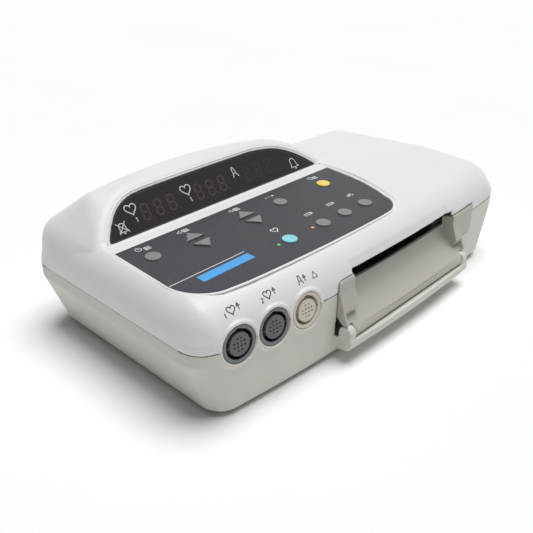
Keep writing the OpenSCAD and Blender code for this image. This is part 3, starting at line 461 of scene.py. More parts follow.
# glazed head, the glossiest thing inside, and the speaker's soft dark cone
glazedCeramic = surface("glazedCeramic", "#dedcd5", "#e7e5df", 0.2, grainMm=1)
pressedPaper = surface("pressedPaper", "#26262a", "#2e2e32", 0.8, grainMm=0.8, bumpMm=0.08)
# connectors and switches at the back: black with a low sheen
blackNylon = surface("blackNylon", "#17181a", "#1f2022", 0.42, grainMm=0.5, bumpMm=0.03)
# the rocker's nylon is glossier than its housing
rockerNylon = surface("rockerNylon", "#1a1b1d", "#212225", 0.28, grainMm=0.6, bumpMm=0.01)
# flange of a transducer socket: mid grey, rubbed a little by plugs
socketRing = surface("socketRing", "#6d7174", "#777b7e", 0.45, grainMm=0.6, bumpMm=0.02)
# the moulded edge lines: the case's resin painted lighter, a painted highlight where they catch the light
beadPaintedHighlight = surface("beadPaintedHighlight", "#f0eff0", "#f5f4f5", 0.36, grainMm=0.7, bumpMm=0.01)
# marks on the window are a little greyer than the white ink
inkPale = surface("inkPale", "#c9c9cc", "#d2d2d5", 0.5, grainMm=0.5, bumpMm=0.01)
# unlit digit blocks: dark red-brown housings, their bars a shade lighter
digitHousing = surface("digitHousing", "#1d1717", "#231b1a", 0.5, grainMm=0.6, bumpMm=0.02)
segmentPaintedGlow = surface("segmentPaintedGlow", "#a8807a", "#b08881", 0.5, grainMm=0.6, bumpMm=0.01)
segmentFaintPaintedGlow = surface("segmentFaintPaintedGlow", "#5c4a47", "#64504c", 0.5, grainMm=0.6, bumpMm=0.01)
# a dark tube in the joint of the two shells, painted shade of the gap, seen as a thin dark line
seamPaintedGapShade = surface("seamPaintedGapShade", "#45443f", "#4f4e49", 0.7, grainMm=0.5, bumpMm=0.01)
# mask printed on the window's inner face, black round the digits
inkMask = surface("inkMask", "#19181b", "#1f1e21", 0.6, grainMm=0.5, bumpMm=0.01)
# the two lamps glow faintly
lampGreen = surface("lampGreen", "#3fc46a", "#55d47d", 0.25, grainMm=0.6, bumpMm=0.01)
lampAmber = surface("lampAmber", "#e8932a", "#f0a03a", 0.25, grainMm=0.6, bumpMm=0.01)
# and the digits' bars, though unlit, get a painted glow, so they keep a brownish tone behind the dark window
for glowing, glow, strength in ((lampGreen, "#2fae58", 0.6), (lampAmber, "#c96f14", 0.6),
                                (segmentPaintedGlow, "#8c6a60", 0.36), (segmentFaintPaintedGlow, "#8a7a68", 0.12)):
    shader = glowing.node_tree.nodes["Principled BSDF"]
    shader.inputs["Emission Color"].default_value = linear(glow)
    shader.inputs["Emission Strength"].default_value = strength


def smoked():
    # smoked acrylic: dark and glossy, with the digits just seen through it
    material, tree, shader, where = startMaterial("smokedAcrylic")
    haze = addNode(tree, "TexNoise", {"Scale": 40.0, "Detail": 2.0}, {"Vector": where})
    tone = addNode(tree, "Mix", {"data_type": "RGBA", 6: linear("#26252a"), 7: linear("#2c2b30")},
                   {0: haze.outputs[0]})
    rough = addNode(tree, "MapRange", {"To Min": 0.1, "To Max": 0.18}, {"Value": haze.outputs[0]})
    tree.links.new(tone.outputs[2], shader.inputs["Base Color"])
    tree.links.new(rough.outputs[0], shader.inputs["Roughness"])
    clear = addNode(tree, "BsdfTransparent", {"Color": linear("#b4adb0")})
    both = addNode(tree, "MixShader", {0: 0.5}, {1: shader.outputs[0], 2: clear.outputs[0]})
    out = next(n for n in tree.nodes if n.type == "OUTPUT_MATERIAL")
    tree.links.new(both.outputs[0], out.inputs["Surface"])
    return material


smokedAcrylic = smoked()
print("materials made:", len(bpy.data.materials))


# Forms of the case

rimStations = span(-(half - cornerR), half - cornerR, 17)
deckStations = span(-(half - edgeIn), half - edgeIn, 13)
panel = dict(height=40, tilt=1, back=142.5, left=-214, front=24.3, bowFrom=-30, leftR=38, leftX=-178,
             leftY=68.5, rightR=31, rightX=24.5, rightY=56.5, sideX=72.4, sideIn=16)
window = dict(y=159, h=40.5, tilt=46, rim=4, crestR=14)
# the hood's crest is a flat arc, and its back slopes down to the deck
hood = dict(crestX=-90, crestY=205, crestH=57.9, crestFall=0.0007, crestR=20, backX=-62, backH=60, backIn=26,
            backHalf=150, backR=24, backDrop=6)
# balls that carry the cover's left edge up to the hood: y and top
leftBalls = ((197, 46), (221, 50))
sideY = 105


def deckPoints(t, around):
    out = []
    for x in rimStations:
        out += drum(x, cornerR + bow(x), -1, deckTop - edgeH, cornerR - t, around)
        out += drum(x, back(x) - cornerR, -1, 2, cornerR - t, around)
    spots = []
    for x in deckStations:
        spots.append((x, edgeIn + bow(x), deckTop - 2, edgeIn))
        spots.append((x, back(x) - edgeIn, deckTop - 8, edgeIn))
    left = -half + edgeLeft
    spots.append((left, edgeIn + bow(left), deckTop - 2, edgeLeft))
    spots.append((left, back(left) - edgeIn, deckTop, edgeLeft))
    spots.append((left, sideY, deckTop, edgeLeft))
    spots.append((half - edgeIn, sideY, deckTop, edgeIn))
    for x, y, top, reach in spots:
        out += ball(place(x, y, top - edgeH), reach - t, edgeIn - t, edgeH - t, None,
                    around, around // 2)
    return out


onPanel = (Matrix.Translation(place(0, panel["back"], panel["height"]))
           @ leaned(panel["tilt"])
           @ Matrix.Translation(Vector((0, -panel["back"], 0)) / 1000))
onWindow = (Matrix.Translation(place(0, window["y"], window["h"]))
            @ leaned(window["tilt"]))


def panelSide(y):
    return panel["sideX"] - panel["sideIn"] * ((panel["back"] - y) / 90) ** 2.2


def panelOutline(d, top):
    out = [(panel["left"] - d, top)]
    out += arc(panel["leftX"], panel["leftY"], panel["leftR"] + d, 182, 254, 13)
    out += [(x, panel["front"] + bow(x - panel["bowFrom"]) - d) for x in span(-165, 15, 19)]
    out += arc(panel["rightX"], panel["rightY"], panel["rightR"] + d, -82, -8, 15)
    out += [(panelSide(y) + d, y) for y in span(60, 132, 13)]
    out.append((panelSide(panel["back"]) + d, top))
    return out


# top edge of the window from its right end to its left, in mm on its slope
windowTop = [(72, 0), (54.6, 17.9), (32, 31.4), (5, 37.3), (-25, 38.6), (-78, 38.8), (-129, 38.4),
             (-162, 37), (-181.4, 29.4), (-194.9, 16.8), (-203, 6), (-206, 0)]


def smoothLine(line, cuts):
    # a curve through all the points
    out = []
    for i in range(len(line) - 1):
        a, b, c, d = [Vector(line[min(max(k, 0), len(line) - 1)]) for k in (i - 1, i, i + 1, i + 2)]
        for j in range(cuts):
            t = j / cuts
            bend = (2 * a - 5 * b + 4 * c - d) * t * t / 2
            twist = (3 * b - a - 3 * c + d) * t ** 3 / 2
            out.append(b + (c - a) * t / 2 + bend + twist)
    return out + [Vector(line[-1])]


def windowOutline(d):
    # the window grown by d
    line = smoothLine(windowTop, 5)
    out = [(windowTop[0][0] + 1.3 * d, -d)]
    for i, p in enumerate(line):
        way = (line[min(i + 1, len(line) - 1)] - line[max(i - 1, 0)]).normalized()
        spot = p + Vector((way.y, -way.x)) * d
        if spot.y > -d + 0.05:
            out.append((spot.x, spot.y))
    return out + [(windowTop[-1][0] - 1.2 * d, -d)]


def hoodBackTop(x):
    low = deckTop - hood["backDrop"]
    return low + (hood["backH"] - low) * (1 - (abs(x - hood["backX"]) / hood["backHalf"]) ** 2.4) ** 0.5


def hoodPoints(t, around):
    out = []
    turn = onWindow.to_3x3()
    r = window["crestR"]
    for x, y in windowOutline(window["rim"]):
        middle = onWindow @ (Vector((x, max(y, 0), -r)) / 1000)
        out += ball(middle, r - t, r - t, r - t, turn, around, around // 2)
    r = hood["crestR"]
    for x in span(-186, 6, 16):
        middle = place(x, hood["crestY"], hood["crestH"] - hood["crestFall"] * (x - hood["crestX"]) ** 2)
        out += ball(middle, r - t, r - t, r - t, None, around, around // 2)
    r = hood["backR"]
    for x in span(-196, 55, 15):
        middle = place(x, back(x) - hood["backIn"], hoodBackTop(x) - r)
        out += ball(middle, r - t, r - t, r - t, None, around, around // 2)
    for y, top in leftBalls:
        middle = place(-half + edgeLeft + 1, y, top - edgeH)
        out += ball(middle, edgeLeft - t, edgeIn - t, edgeH - t, None,
                    around, around // 2)
    return out


def panelSlab(name, d, top, low, high):
    return prism(name, panelOutline(d, top), low, high, onPanel)


def windowSlab(name, d, low, high):
    return prism(name, windowOutline(d), low, high, onWindow)


# sockets stand square to the bowed front, leaning back a little
socketX = [-193.5, -155.9, -118.3]
socket = dict(lean=84, seatR=17.1, seatZ=-2.6, boreR=14.65, boreZ=-16)


def atSocket(x):
    return onFront(x, 0, 0, socket["lean"])


def collarTools():
    # the raised ring of the shells round each socket
    rim = [(0, -8), (20.6, -8), (20.6, 0.3), (20.2, 0.9), (19.4, 1.3), (18.3, 1.3), (17.5, 0.9), (17.1, 0.6),
           (0, 0.6)]
    return [lathe("collar", rim, atSocket(x)) for x in socketX]


def socketBores():
    out = [prism("seat", circleOf(socket["seatR"]), socket["seatZ"], 40, atSocket(x)) for x in socketX]
    return out + [prism("bore", circleOf(socket["boreR"]), socket["boreZ"], 0, atSocket(x)) for x in socketX]


# Key panel pieces in mm on the panel: round keys, arrow keys with the way they point, lamps
roundKeys = dict(key_top_left=(-193.3, 115.4), key_top_middle=(-32.4, 115.4), key_yellow=(34.7, 115.4),
                 key_turquoise=(-85.3, 54.5), key_low_left=(-38, 54.5), key_low_middle=(-5.3, 54.5),
                 key_low_right=(27.1, 54.5))
arrowKeys = dict(key_up_left=(-146.5, 113.5, 1), key_down_left=(-146.5, 103, -1),
                 key_up_right=(-82, 113.5, 1), key_down_right=(-82, 103, -1))
lamps = dict(led_green=(-100, 54.1), led_amber=(-52.4, 55.1))
# the arrow keys' faces: middle, base and tip
arrowFaces = dict(key_up_left=(-145, 114.8, 127.5), key_down_left=(-145, 107.4, 94.8),
                  key_up_right=(-79.3, 114.9, 127.7), key_down_right=(-79.3, 107.6, 94.8))
arrowHalf = 9.9
# holes in the cover and the film: round keys, lamps, and the arrow keys' stems
hole = dict(keyR=7.55, lampR=1.6, arrowHalf=7.9, arrowBase=4.75, arrowTip=4.98)


def arrowOutline(x, low, tip, grow):
    way = 1 if tip > low else -1
    tall = abs(tip - low)
    top = tip + way * grow * math.hypot(arrowHalf, tall) / arrowHalf
    low -= way * grow
    wide = abs(top - low) * arrowHalf / tall
    return [(x - wide, low), (x + wide, low), (x, top)]


# x and y of the case's screws, the feet and the recorder frame's bosses
footPlaces = ((-170, 42), (170, 42), (-170, 225), (170, 225))
frameBosses = ((-66, 107.7), (98, 107.7))
screwPlaces = ((-190, 62), (-95, 28), (190, 45), (-190, 222), (-60, 236), (190, 222))

# The door and its bay
door = dict(left=-77.5, right=132, plateRight=164, gap=0.7, flangeW=21.5, plateLeft=118, plateTop=9.3,
            plateLow=-24, slotLow=-4, slotTop=15.5, flangeTop=11, cornerR=5, hingeH=-40, barrelR=6.6,
            lugR=7.4, lugW=9, pinR=2.55, frontY=-17.5)
hingeH = door["hingeH"]
sillTop = hingeH - door["barrelR"] + 0.1
hingeTurn = math.atan((bow(door["right"]) - bow(door["left"])) / (door["right"] - door["left"]))


def hingeY(x):
    return (door["frontY"] + bow(door["left"]) + 0.9 + 0.5 + door["barrelR"]
            + (x - door["left"]) * math.tan(hingeTurn))


def hingeBar(name, x0, x1, r):
    start = place(x0, hingeY(x0), hingeH)
    way = Vector((math.cos(hingeTurn), math.sin(hingeTurn), 0))
    return rod(name, start, start + way * (x1 - x0) / 1000, r)


def cornerArc(gap):
    # the rounded top-left corner of the flange, grown by the gap
    r = door["cornerR"]
    return arc(door["left"] + r, door["flangeTop"] - r, r + gap, 90, 180, 8)


def doorBay():
    # the room of the door and of the paper behind it
    gap = door["gap"]
    left, right = door["left"] - gap, door["plateRight"] + gap
    inner, plate = left + door["flangeW"], door["plateLeft"] - gap
    low = door["plateLow"] - gap
    outline = [(left, sillTop), (door["right"] + gap, sillTop), (door["right"] + gap, low), (right, low),
               (right, door["plateTop"] + gap), (plate, door["plateTop"] + gap), (plate, door["slotTop"]),
               (inner, door["slotTop"]), (inner, door["flangeTop"] + gap)] + cornerArc(gap)
    return prism("bay", outline, 0, 100, onDoor)


# Top cover

filmMm, lensMm = 1.5, 2.5
cover = dict(grid=0.9, rounds=4, browX=(-62, 110), bossR=6)
outer = shrinkWrapOf("top_cover_skin", deckPoints(0, 64))
carve(outer, [shrinkWrapOf("hood", hoodPoints(0, 48))] + collarTools(), "UNION")
hollow = shrinkWrapOf("hollow", deckPoints(wall, 24))
carve(hollow, [shrinkWrapOf("hoodHollow", hoodPoints(wall, 20))], "UNION")
shelves = [panelSlab("keyShelf", 5, window["y"], -4, 14), windowSlab("windowShelf", 5, -5, 3),
           bowedBar("brow", [(-2, 14.5), (12, 14.5), (16, 34), (-2, 34)], *cover["browX"])] + collarTools()
shelves += [prism("boss", circleOf(cover["bossR"], 32, x, y), -5, 150, onCase) for x, y in screwPlaces]
carve(hollow, shelves)
carve(outer, [boxOf("below", (-300, 300), (-60, 330), (-80, 0)), hollow,
              panelSlab("panelTop", 4, window["y"], 0.4, 60), windowSlab("windowTop", 4, 0, 60)])
carve(outer, [panelSlab("sheetPocket", 0.15, panel["back"], -filmMm, 60),
              windowSlab("lensPocket", 0.15, -lensMm, 60), windowSlab("lensHole", -3, -14, 60),
              bowedBar("browCut", [(-20, 12.5), (1.9, 12.5), (8.3, 30), (-20, 30)], -60, 108), doorBay()])
holes = [prism("keyHole", circleOf(hole["keyR"], 48, x, y), -10, 10, onPanel) for x, y in roundKeys.values()]
for x, y, way in arrowKeys.values():
    low = y - hole["arrowBase"] * way
    shape = [(x - hole["arrowHalf"], low), (x + hole["arrowHalf"], low), (x, y + hole["arrowTip"] * way)]
    holes.append(prism("arrowHole", shape, -10, 10, onPanel))
holes += [prism("lampHole", circleOf(hole["lampR"], 24, x, y), -10, 10, onPanel) for x, y in lamps.values()]
carve(outer, holes + socketBores())
mould(outer, cover["grid"], cover["rounds"])
dress(outer, mouldedAbs)
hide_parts("top_cover")
print("top cover:", len(outer.data.polygons), "faces")

# Bottom case

base = dict(grid=0.9, rounds=4, floorR=10, cornerR=14, bossR=6, frameBossR=5, screwR=2.05, headR=4, footR=9,
            pocket=(-56, -16), pocketHalf=125, pocketY=249.5)
# the loudspeaker's grille in the floor: round holes in a round field
grille = dict(x=-150, y=172, pitch=9, r=2, reach=3.2)


def basePoints(t, around):
    out = []
    for x in rimStations:
        out += drum(x, cornerR + bow(x), -12, 1, cornerR - t, around)
        out += drum(x, back(x) - cornerR, -12, 1, cornerR - t, around)
    reach = base["cornerR"] + base["floorR"]
    for x in span(-(half - caseSize["taper"] - reach), half - caseSize["taper"] - reach, 9):
        for y in (1.5 + reach + bow(x), back(x) - 6 - reach):
            centre = place(x, y, caseSize["footH"] - caseSize["partingZ"] + base["floorR"])
            edge = base["floorR"] - t
            for j in range(around):
                b = 2 * math.pi * j / around
                for a in span(-math.pi / 2, math.pi / 2, max(around // 4, 5)):
                    r = base["cornerR"] + edge * math.cos(a)
                    out.append(centre + Vector((r * math.cos(b), r * math.sin(b), edge * math.sin(a))) / 1000)
    return out


baseSkin = shrinkWrapOf("bottom_case_skin", basePoints(0, 48))
carve(baseSkin, collarTools(), "UNION")
baseHollow = shrinkWrapOf("baseHollow", basePoints(wall, 20))
solid = collarTools() + [boxOf("pocketWall", (-128, 128), (246.5, 400), (-59, -13))]
solid += [prism("boss", circleOf(base["bossR"], 32, x, y), -80, 5, onCase) for x, y in screwPlaces]
solid += [prism("frameBoss", circleOf(base["frameBossR"], 32, x, y), -80, sillTop, onCase)
          for x, y in frameBosses]
carve(baseHollow, solid)
carve(baseSkin, [boxOf("above", (-300, 300), (-60, 330), (0, 80)), doorBay()])
sillShape = [(door["frontY"], sillTop + 1.1), (door["frontY"], -53), (-13.5, -57), (2, -60),
             (26.2, sillTop - 4), (26.2, sillTop), (-9.5, sillTop), (-12.5, sillTop + 1.1)]
sill = bowedBar("sill", sillShape, door["left"], door["right"])
carve(sill, [hingeBar("barrelRoom", door["left"] + 9, door["right"] - 9, door["barrelR"] + 0.5)])
lugs = []
for x in (door["left"], door["right"] - door["lugW"]):
    lugs.append(hingeBar("lug", x, x + door["lugW"], door["lugR"]))
    lugs.append(boxOf("lugFoot", (x, x + door["lugW"]), (hingeY(x) - 6.4, hingeY(x) + door["lugR"]),
                      (sillTop - 2, hingeH)))
carve(baseSkin, [baseHollow])
carve(baseSkin, [sill] + lugs, "UNION")
cuts = socketBores()
for x, y in screwPlaces:
    cuts.append(prism("screwHole", circleOf(base["screwR"], 24, x, y), -80, 1, onCase))
    cuts.append(prism("headHole", circleOf(base["headR"], 24, x, y), -80, -66, onCase))
for x, y in footPlaces:
    cuts.append(prism("footSeat", circleOf(base["footR"], 48, x, y), -80, -69, onCase))
for i in range(-3, 4):
    for j in range(-3, 4):
        if math.hypot(i, j) < grille["reach"]:
            x, y = grille["x"] + grille["pitch"] * i, grille["y"] + grille["pitch"] * j
            spot = circleOf(grille["r"], 20, x, y)
            cuts.append(prism("speakerHole", spot, -80, -66, onCase))
cuts.append(boxOf("pocket", (-base["pocketHalf"], base["pocketHalf"]), (base["pocketY"], 400),
                  base["pocket"]))
cuts.append(boxOf("pocketBack", (-123, 123), (241, 251), (-54, -18)))
carve(baseSkin, cuts)
mould(baseSkin, base["grid"], base["rounds"])
dress(baseSkin, mouldedBase)
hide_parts("bottom_case")
print("bottom case:", len(baseSkin.data.polygons), "faces")

# Recorder door

doorLook = dict(grid=0.6, rounds=3, turn=47, r=34, ball=7.4, ballY=-8.1, thick=3, arcH=5)
lean = math.radians(doorLook["turn"])
arcY = doorLook["ballY"] - (doorLook["r"] + doorLook["ball"] - (doorLook["arcH"] - hingeH)
                            * math.sin(lean)) / math.cos(lean)


def doorArc(r, w):
    # a point of the bulged panel, w degrees down its arc
    w = math.radians(w)
    return (arcY + r * math.cos(w), doorLook["arcH"] - r * math.sin(w))


def doorLine(d, s):
    # a point d in front of the hinge's line and s up the panel's straight part
    return (doorLook["ballY"] - d * math.cos(lean) + s * math.sin(lean),
            hingeH + d * math.sin(lean) + s * math.cos(lean))


thick, ball0 = doorLook["thick"], doorLook["ball"]
panelTop = [math.degrees(math.asin((doorLook["arcH"] - door["slotLow"]) / r))
            for r in (doorLook["r"], doorLook["r"] + thick)]
panelShape = [doorArc(doorLook["r"], w) for w in span(panelTop[0], doorLook["turn"], 13)]
panelShape += [doorLine(ball0, 4.6), doorLine(ball0 - thick, 7.5)]
panelShape += [doorArc(doorLook["r"] + thick, w) for w in span(doorLook["turn"], panelTop[1], 13)]
stripShape = [doorLine(ball0, 14), doorLine(ball0, 0), (doorLook["ballY"] - 1, -40),
              (doorLook["ballY"] + 4, -38), doorLine(ball0 - thick, 5), doorLine(ball0 - thick, 14)]
flangeShape = [(-0.3, 10.9), (-1.3, 8.5), (-1.3, 0), (-7.6, -18), (-4.5, -24), (3, -20), (10.6, -8),
               (12.6, 0), (12.6, 10.9)]
plateShape = [(0.6, 9.3), (-1, 6.5), (-1, -21), (0, -24), (8, -24), (8, 9.3)]
cheekShape = [(-7.6, -18), (-9.4, -24), (-12.5, -30), (-11, -31.4), (0, -23), (4, -14)]
left, right = door["left"], door["right"]
start, end = left + door["lugW"] + 0.9, right - door["lugW"] - 0.9
doorSkin = bowedBar("recorder_door_skin", panelShape, left, right)
flange = bowedBar("flange", flangeShape, left, left + door["flangeW"])


def swing(x, edge):
    # how far from the hinge's line the door can reach at x without touching the case
    return math.hypot(bow(x) - hingeY(x), edge - hingeH) - 0.5


flangeSwing = swing(left + door["flangeW"] / 2, 11.7)
carve(flange, [hingeBar("swing", left - 1, left + door["flangeW"] + 1, flangeSwing)], "INTERSECT")
cornerCut = cornerArc(-0.1) + [(left - 5, door["flangeTop"] - door["cornerR"]), (left - 5, 20),
                               (left + door["cornerR"], 20)]
carve(flange, [prism("flangeCorner", cornerCut, -30, 40, onDoor)])
plate = bowedBar("plate", plateShape, door["plateLeft"], door["plateRight"])
carve(plate, [bowedBar("plateFlange", flangeShape, door["plateLeft"], right)], "UNION")
carve(plate, [hingeBar("swing", door["plateLeft"] - 1, door["plateRight"] + 1, swing(door["plateLeft"], 10))],
      "INTERSECT")
carve(doorSkin, [flange, plate, bowedBar("strip", stripShape, start, end),
                 hingeBar("barrel", start, end, door["barrelR"]),
                 bowedBar("cheek", cheekShape, left, left + 3),
                 bowedBar("cheek", cheekShape, right - 3, right)], "UNION")
carve(doorSkin, [hingeBar("pinRoom", start - 1, start + 10.1, door["pinR"]),
                 hingeBar("pinRoom", end - 10.1, end + 1, door["pinR"])])
mould(doorSkin, doorLook["grid"], doorLook["rounds"])
# the door's colour holds painted shade from the brow
dress(doorSkin, doorResinPaintedShade, "door")
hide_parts("recorder_door")
print("door:", len(doorSkin.data.polygons), "faces")

# Sockets

shellProfile = [(14.6, -15.1), (14.6, -2.6), (16.7, -2.6), (16.7, -0.2), (16.5, 0.2), (16.1, 0.4),
                (15.1, 0.4), (14.3, 0.25), (13.6, -0.1), (13.2, -0.7), (13.2, -9.6), (10.4, -9.6),
                (10.4, -15.1)]
# flange and barrel of each socket
socketLooks = dict(left=(socketRing, socketNylon), middle=(socketRing, socketNylon),
                   right=(socketCream, socketCream))
for x, (side, looks) in zip(socketX, socketLooks.items()):
    shell = lathe("socket_shell_" + side + "_look", shellProfile, atSocket(x))
    carve(shell, [boxOf("keyway", (-2.2, 2.2), (11, 14.6), (-8, 2), atSocket(x))])
    shell.data.materials.append(looks[0])
    shell.data.materials.append(looks[1])
    away = atSocket(x).inverted()
    for face in shell.data.polygons:
        spot = away @ face.center * 1000
        if math.hypot(spot.x, spot.y) < 13.9 and spot.z < 0.1:
            face.material_index = 1
    softEdges(shell, 35)
    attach(shell, "case")
    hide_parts("socket_shell_" + side)
print("sockets made")

# Keys and the film of the key panel

capProfile = [(0, -5.5), (8.3, -5.5), (8.3, -4.3), (7.3, -4.3), (7.3, 0.75), (7.15, 1.08), (6.8, 1.27),
              (6.3, 1.3), (5, 1.18), (3, 1.08), (0, 1.03)]
capLooks = dict(key_yellow=siliconeYellow, key_turquoise=siliconeTurquoise)
for key, (x, y) in roundKeys.items():
    cap = lathe(key + "_look", capProfile, onPanel @ Matrix.Translation(Vector((x, y, 0)) / 1000), 72)
    softEdges(cap, 40)
    dress(cap, capLooks.get(key, siliconeGrey), key + "_cap")
    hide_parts(key)
for key, (x, y, way) in arrowKeys.items():
    low = arrowFaces[key][1]
    cap = prism(key + "_look", arrowOutline(*arrowFaces[key], 0), -0.6, 1.6, onPanel)
    rounded(cap, 0.7, 4)
    footShape = [(x - 7.4, y - 4.4 * way), (x + 7.4, y - 4.4 * way), (x, y + 4.4 * way)]
    foot = prism("foot", footShape, -5.5, -2, onPanel)
    stem = boxOf("stem", (x - 1, x + 1), sorted((low + 0.4 * way, low + 2 * way)), (-2.1, 0.5), onPanel)
    carve(cap, [foot, stem], "UNION")
    softEdges(cap, 30)
    dress(cap, siliconeGrey, key + "_cap")
    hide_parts(key)
sheet = panelSlab("keypad_sheet_look", 0, panel["back"] - 0.15, -filmMm, 0)
holes = [prism("keyHole", circleOf(hole["keyR"], 64, x, y), -5, 5, onPanel) for x, y in roundKeys.values()]
holes += [prism("arrowHole", arrowOutline(*face, 0.35), -5, 5, onPanel) for face in arrowFaces.values()]
holes += [prism("lampHole", circleOf(hole["lampR"], 24, x, y), -5, 5, onPanel) for x, y in lamps.values()]
carve(sheet, holes)
softEdges(sheet, 30)
dress(sheet, printedFilm)
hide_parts("keypad_sheet")
print("keys made")

# Raised beads round the key panel and the window, with a painted highlight, and a tube of painted shade in
# the seam


def bead(name, outline, matrix, r, height, material, around=10):
    points, faces = [], []
    n = len(outline)
    for i, p in enumerate(outline):
        way = Vector(outline[min(i + 1, n - 1)]) - Vector(outline[max(i - 1, 0)])
        side = Vector((-way.y, way.x)).normalized()
        for j in range(around):
            b = 2 * math.pi * j / around
            spot = Vector(p) + side * r * math.cos(b)
            points.append(matrix @ (Vector((spot.x, spot.y, height + r * math.sin(b))) / 1000))
    for i in range(n - 1):
        faces += [[i * around + j, i * around + (j + 1) % around, (i + 1) * around + (j + 1) % around,
                   (i + 1) * around + j] for j in range(around)]
    faces += [list(range(around)), [(n - 1) * around + j for j in range(around)]]
    piece = newPiece(name, points, faces)
    faceOut(piece)
    piece.data.shade_smooth()
    return dress(piece, material)


# the beads round the key panel and the window carry a painted highlight
bead("key_panel_bead", fine(panelOutline(1.5, panel["back"] + 1.5), 4), onPanel, 1.1, -0.1, beadPaintedHighlight)
bead("window_bead", fine(windowOutline(3.2)[1:-1], 4), onWindow, 0.8, -0.1, beadPaintedHighlight)


def seamLine(inset):
    # the joint of the shells, from the door round the back to the door's plate
    mid = half - cornerR
    r = cornerR - inset
    low, high = bow(mid) + cornerR, back(mid) - cornerR
    out = [(x, bow(x) + inset) for x in span(door["left"] - 1.2, -mid, 24)]
    for cx, cy, turns in ((-mid, low, (262, 182)), (-mid, high, (178, 92)), (mid, high, (88, 2)),
                          (mid, low, (-2, -82))):
        out += arc(cx, cy, r, *turns, 12)
        if cx < 0 and cy == high:
            out += [(x, back(x) - inset) for x in span(4 - mid, mid - 4, 24)]
    return out + [(x, bow(x) + inset) for x in span(mid, door["plateRight"] + 1.5, 8)]


# the seam's dark tube is painted shade of the gap between the shells
bead("seam", fine(seamLine(0.38), 6), onCase, 0.36, 0, seamPaintedGapShade, 8)

# The window and the digits behind it

digitLook = dict(h=17.8, w=9.6, pitch=15.6, slant=0.12, seg=2.2, depth=-2.35, mid=17.6)
segmentEnds = [((0, 1), (1, 1)), ((1, 1), (1, 0.5)), ((1, 0.5), (1, 0)), ((0, 0), (1, 0)), ((0, 0.5), (0, 0)),
               ((0, 1), (0, 0.5)), ((0, 0.5), (1, 0.5))]


def segment(a, b, w):
    # one bar with pointed ends
    a, b = Vector(a), Vector(b)
    way = (b - a).normalized()
    side = Vector((-way.y, way.x)) * w / 2
    a, b = a + way * 0.25, b - way * 0.25
    cut = way * w / 2
    return [a, a + cut - side, b - cut - side, b, b - cut + side, a + cut + side]


lens = windowSlab("display_window_look", 0, -lensMm, 0)
softEdges(lens, 30)
dress(lens, smokedAcrylic)
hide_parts("display_window")
printed("window_mask", [(windowOutline(-0.4), 0)], onWindow, inkMask, height=-2.45)
# the left and middle blocks' bars carry the stronger painted glow, the right one's the fainter
for module, mid, lit in (("left", -140, segmentPaintedGlow), ("middle", -74, segmentPaintedGlow),
                         ("right", -6.2, segmentFaintPaintedGlow)):
    marks = []
    for i in (-1, 0, 1):
        for a, b in segmentEnds:
            ends = []
            for u, v in (a, b):
                up = (v - 0.5) * (digitLook["h"] - digitLook["seg"])
                ends.append((mid + i * digitLook["pitch"] + (u - 0.5) * (digitLook["w"] - digitLook["seg"])
                             + up * digitLook["slant"], digitLook["mid"] + up))
            marks.append((segment(ends[0], ends[1], digitLook["seg"]), 0))
        marks.append((circleOf(0.9, 12, mid + i * digitLook["pitch"] + 6.2, digitLook["mid"] - 8.6), 0))
    printed("digits_" + module, marks, onWindow, lit, height=digitLook["depth"])

# Printed marks


def moved(lines, x, y, size=1.0):
    return [([(x + px * size, y + py * size) for px, py in line], width) for line, width in lines]


heartLine = []
for i in range(41):
    w = 2 * math.pi * i / 40
    tall = 13 * math.cos(w) - 5 * math.cos(2 * w) - 2 * math.cos(3 * w) - math.cos(4 * w) + 2
    heartLine.append((16 * math.sin(w) ** 3 / 3.4, tall / 3.4))
heart = [(heartLine, 1.0)]
one = [([(-1.2, 2.2), (0.2, 3.4), (0.2, -3.4)], 0.9)]
two = [([(-1.7, 2.2), (-0.9, 3.2), (0.7, 3.3), (1.6, 2.2), (1.2, 0.8), (-1.8, -3.2), (1.9, -3.2)], 0.8)]
bellLine = [(-4.6, -3.6), (-3.4, -2.2), (-3, 1)] + arc(0, 1.6, 3, 180, 0, 9)
bellLine += [(3, 1), (3.4, -2.2), (4.6, -3.6), (-4.6, -3.6)]
bell = [(bellLine, 0.9), ([(-1.2, -4.6), (0, -5.3), (1.2, -4.6)], 0.9)]
crossedBell = bell + [([(-5, -5), (5, 5.6)], 0.8), ([(-5, 5.6), (5, -5)], 0.8)]
peak = [([(-3.4, -5), (-2, -1.6), (-1.4, 3), (-0.6, 5), (0.6, 5), (1.4, 3), (2, -1.6), (3.4, -5)], 1.0),
        ([(-1.9, -1.2), (1.9, -1.2)], 0.8)]
arrowUp = [([(0, -3.6), (0, 3)], 0.9), ([(-1.9, 0.6), (0, 3.8), (1.9, 0.6), (-1.9, 0.6)], 0.7)]
triangle = [([(-2.9, -2.5), (2.9, -2.5), (0, 3), (-2.9, -2.5)], 0.7)]
clock = [(circleOf(2.6, 24) + [(2.6, 0)], 0.6), ([(0, 1.6), (0, 0), (1.2, -0.6)], 0.5)]
lines = [([(-2.8, y), (2.8, y)], 0.9) for y in (-1.8, 0, 1.8)] + [([(-1.6, -2.6), (-1.6, 2.6)], 0.8)]
horn = [([(-2.4, -0.9), (-1, -0.9), (0.6, -2.3), (0.6, 2.3), (-1, 0.9), (-2.4, 0.9), (-2.4, -0.9)], 0.5),
        ([(1.7, -1.2), (2.1, 0), (1.7, 1.2)], 0.5), ([(2.8, -2), (3.4, 0), (2.8, 2)], 0.5)]
dashes = [([(-4.6, 0), (-3.2, 0)], 1.3), ([(-1.6, 0), (-0.3, 0)], 0.7), ([(1, 0), (2.2, 0)], 0.7),
          (circleOf(1.1, 14, 4.4), 0)]
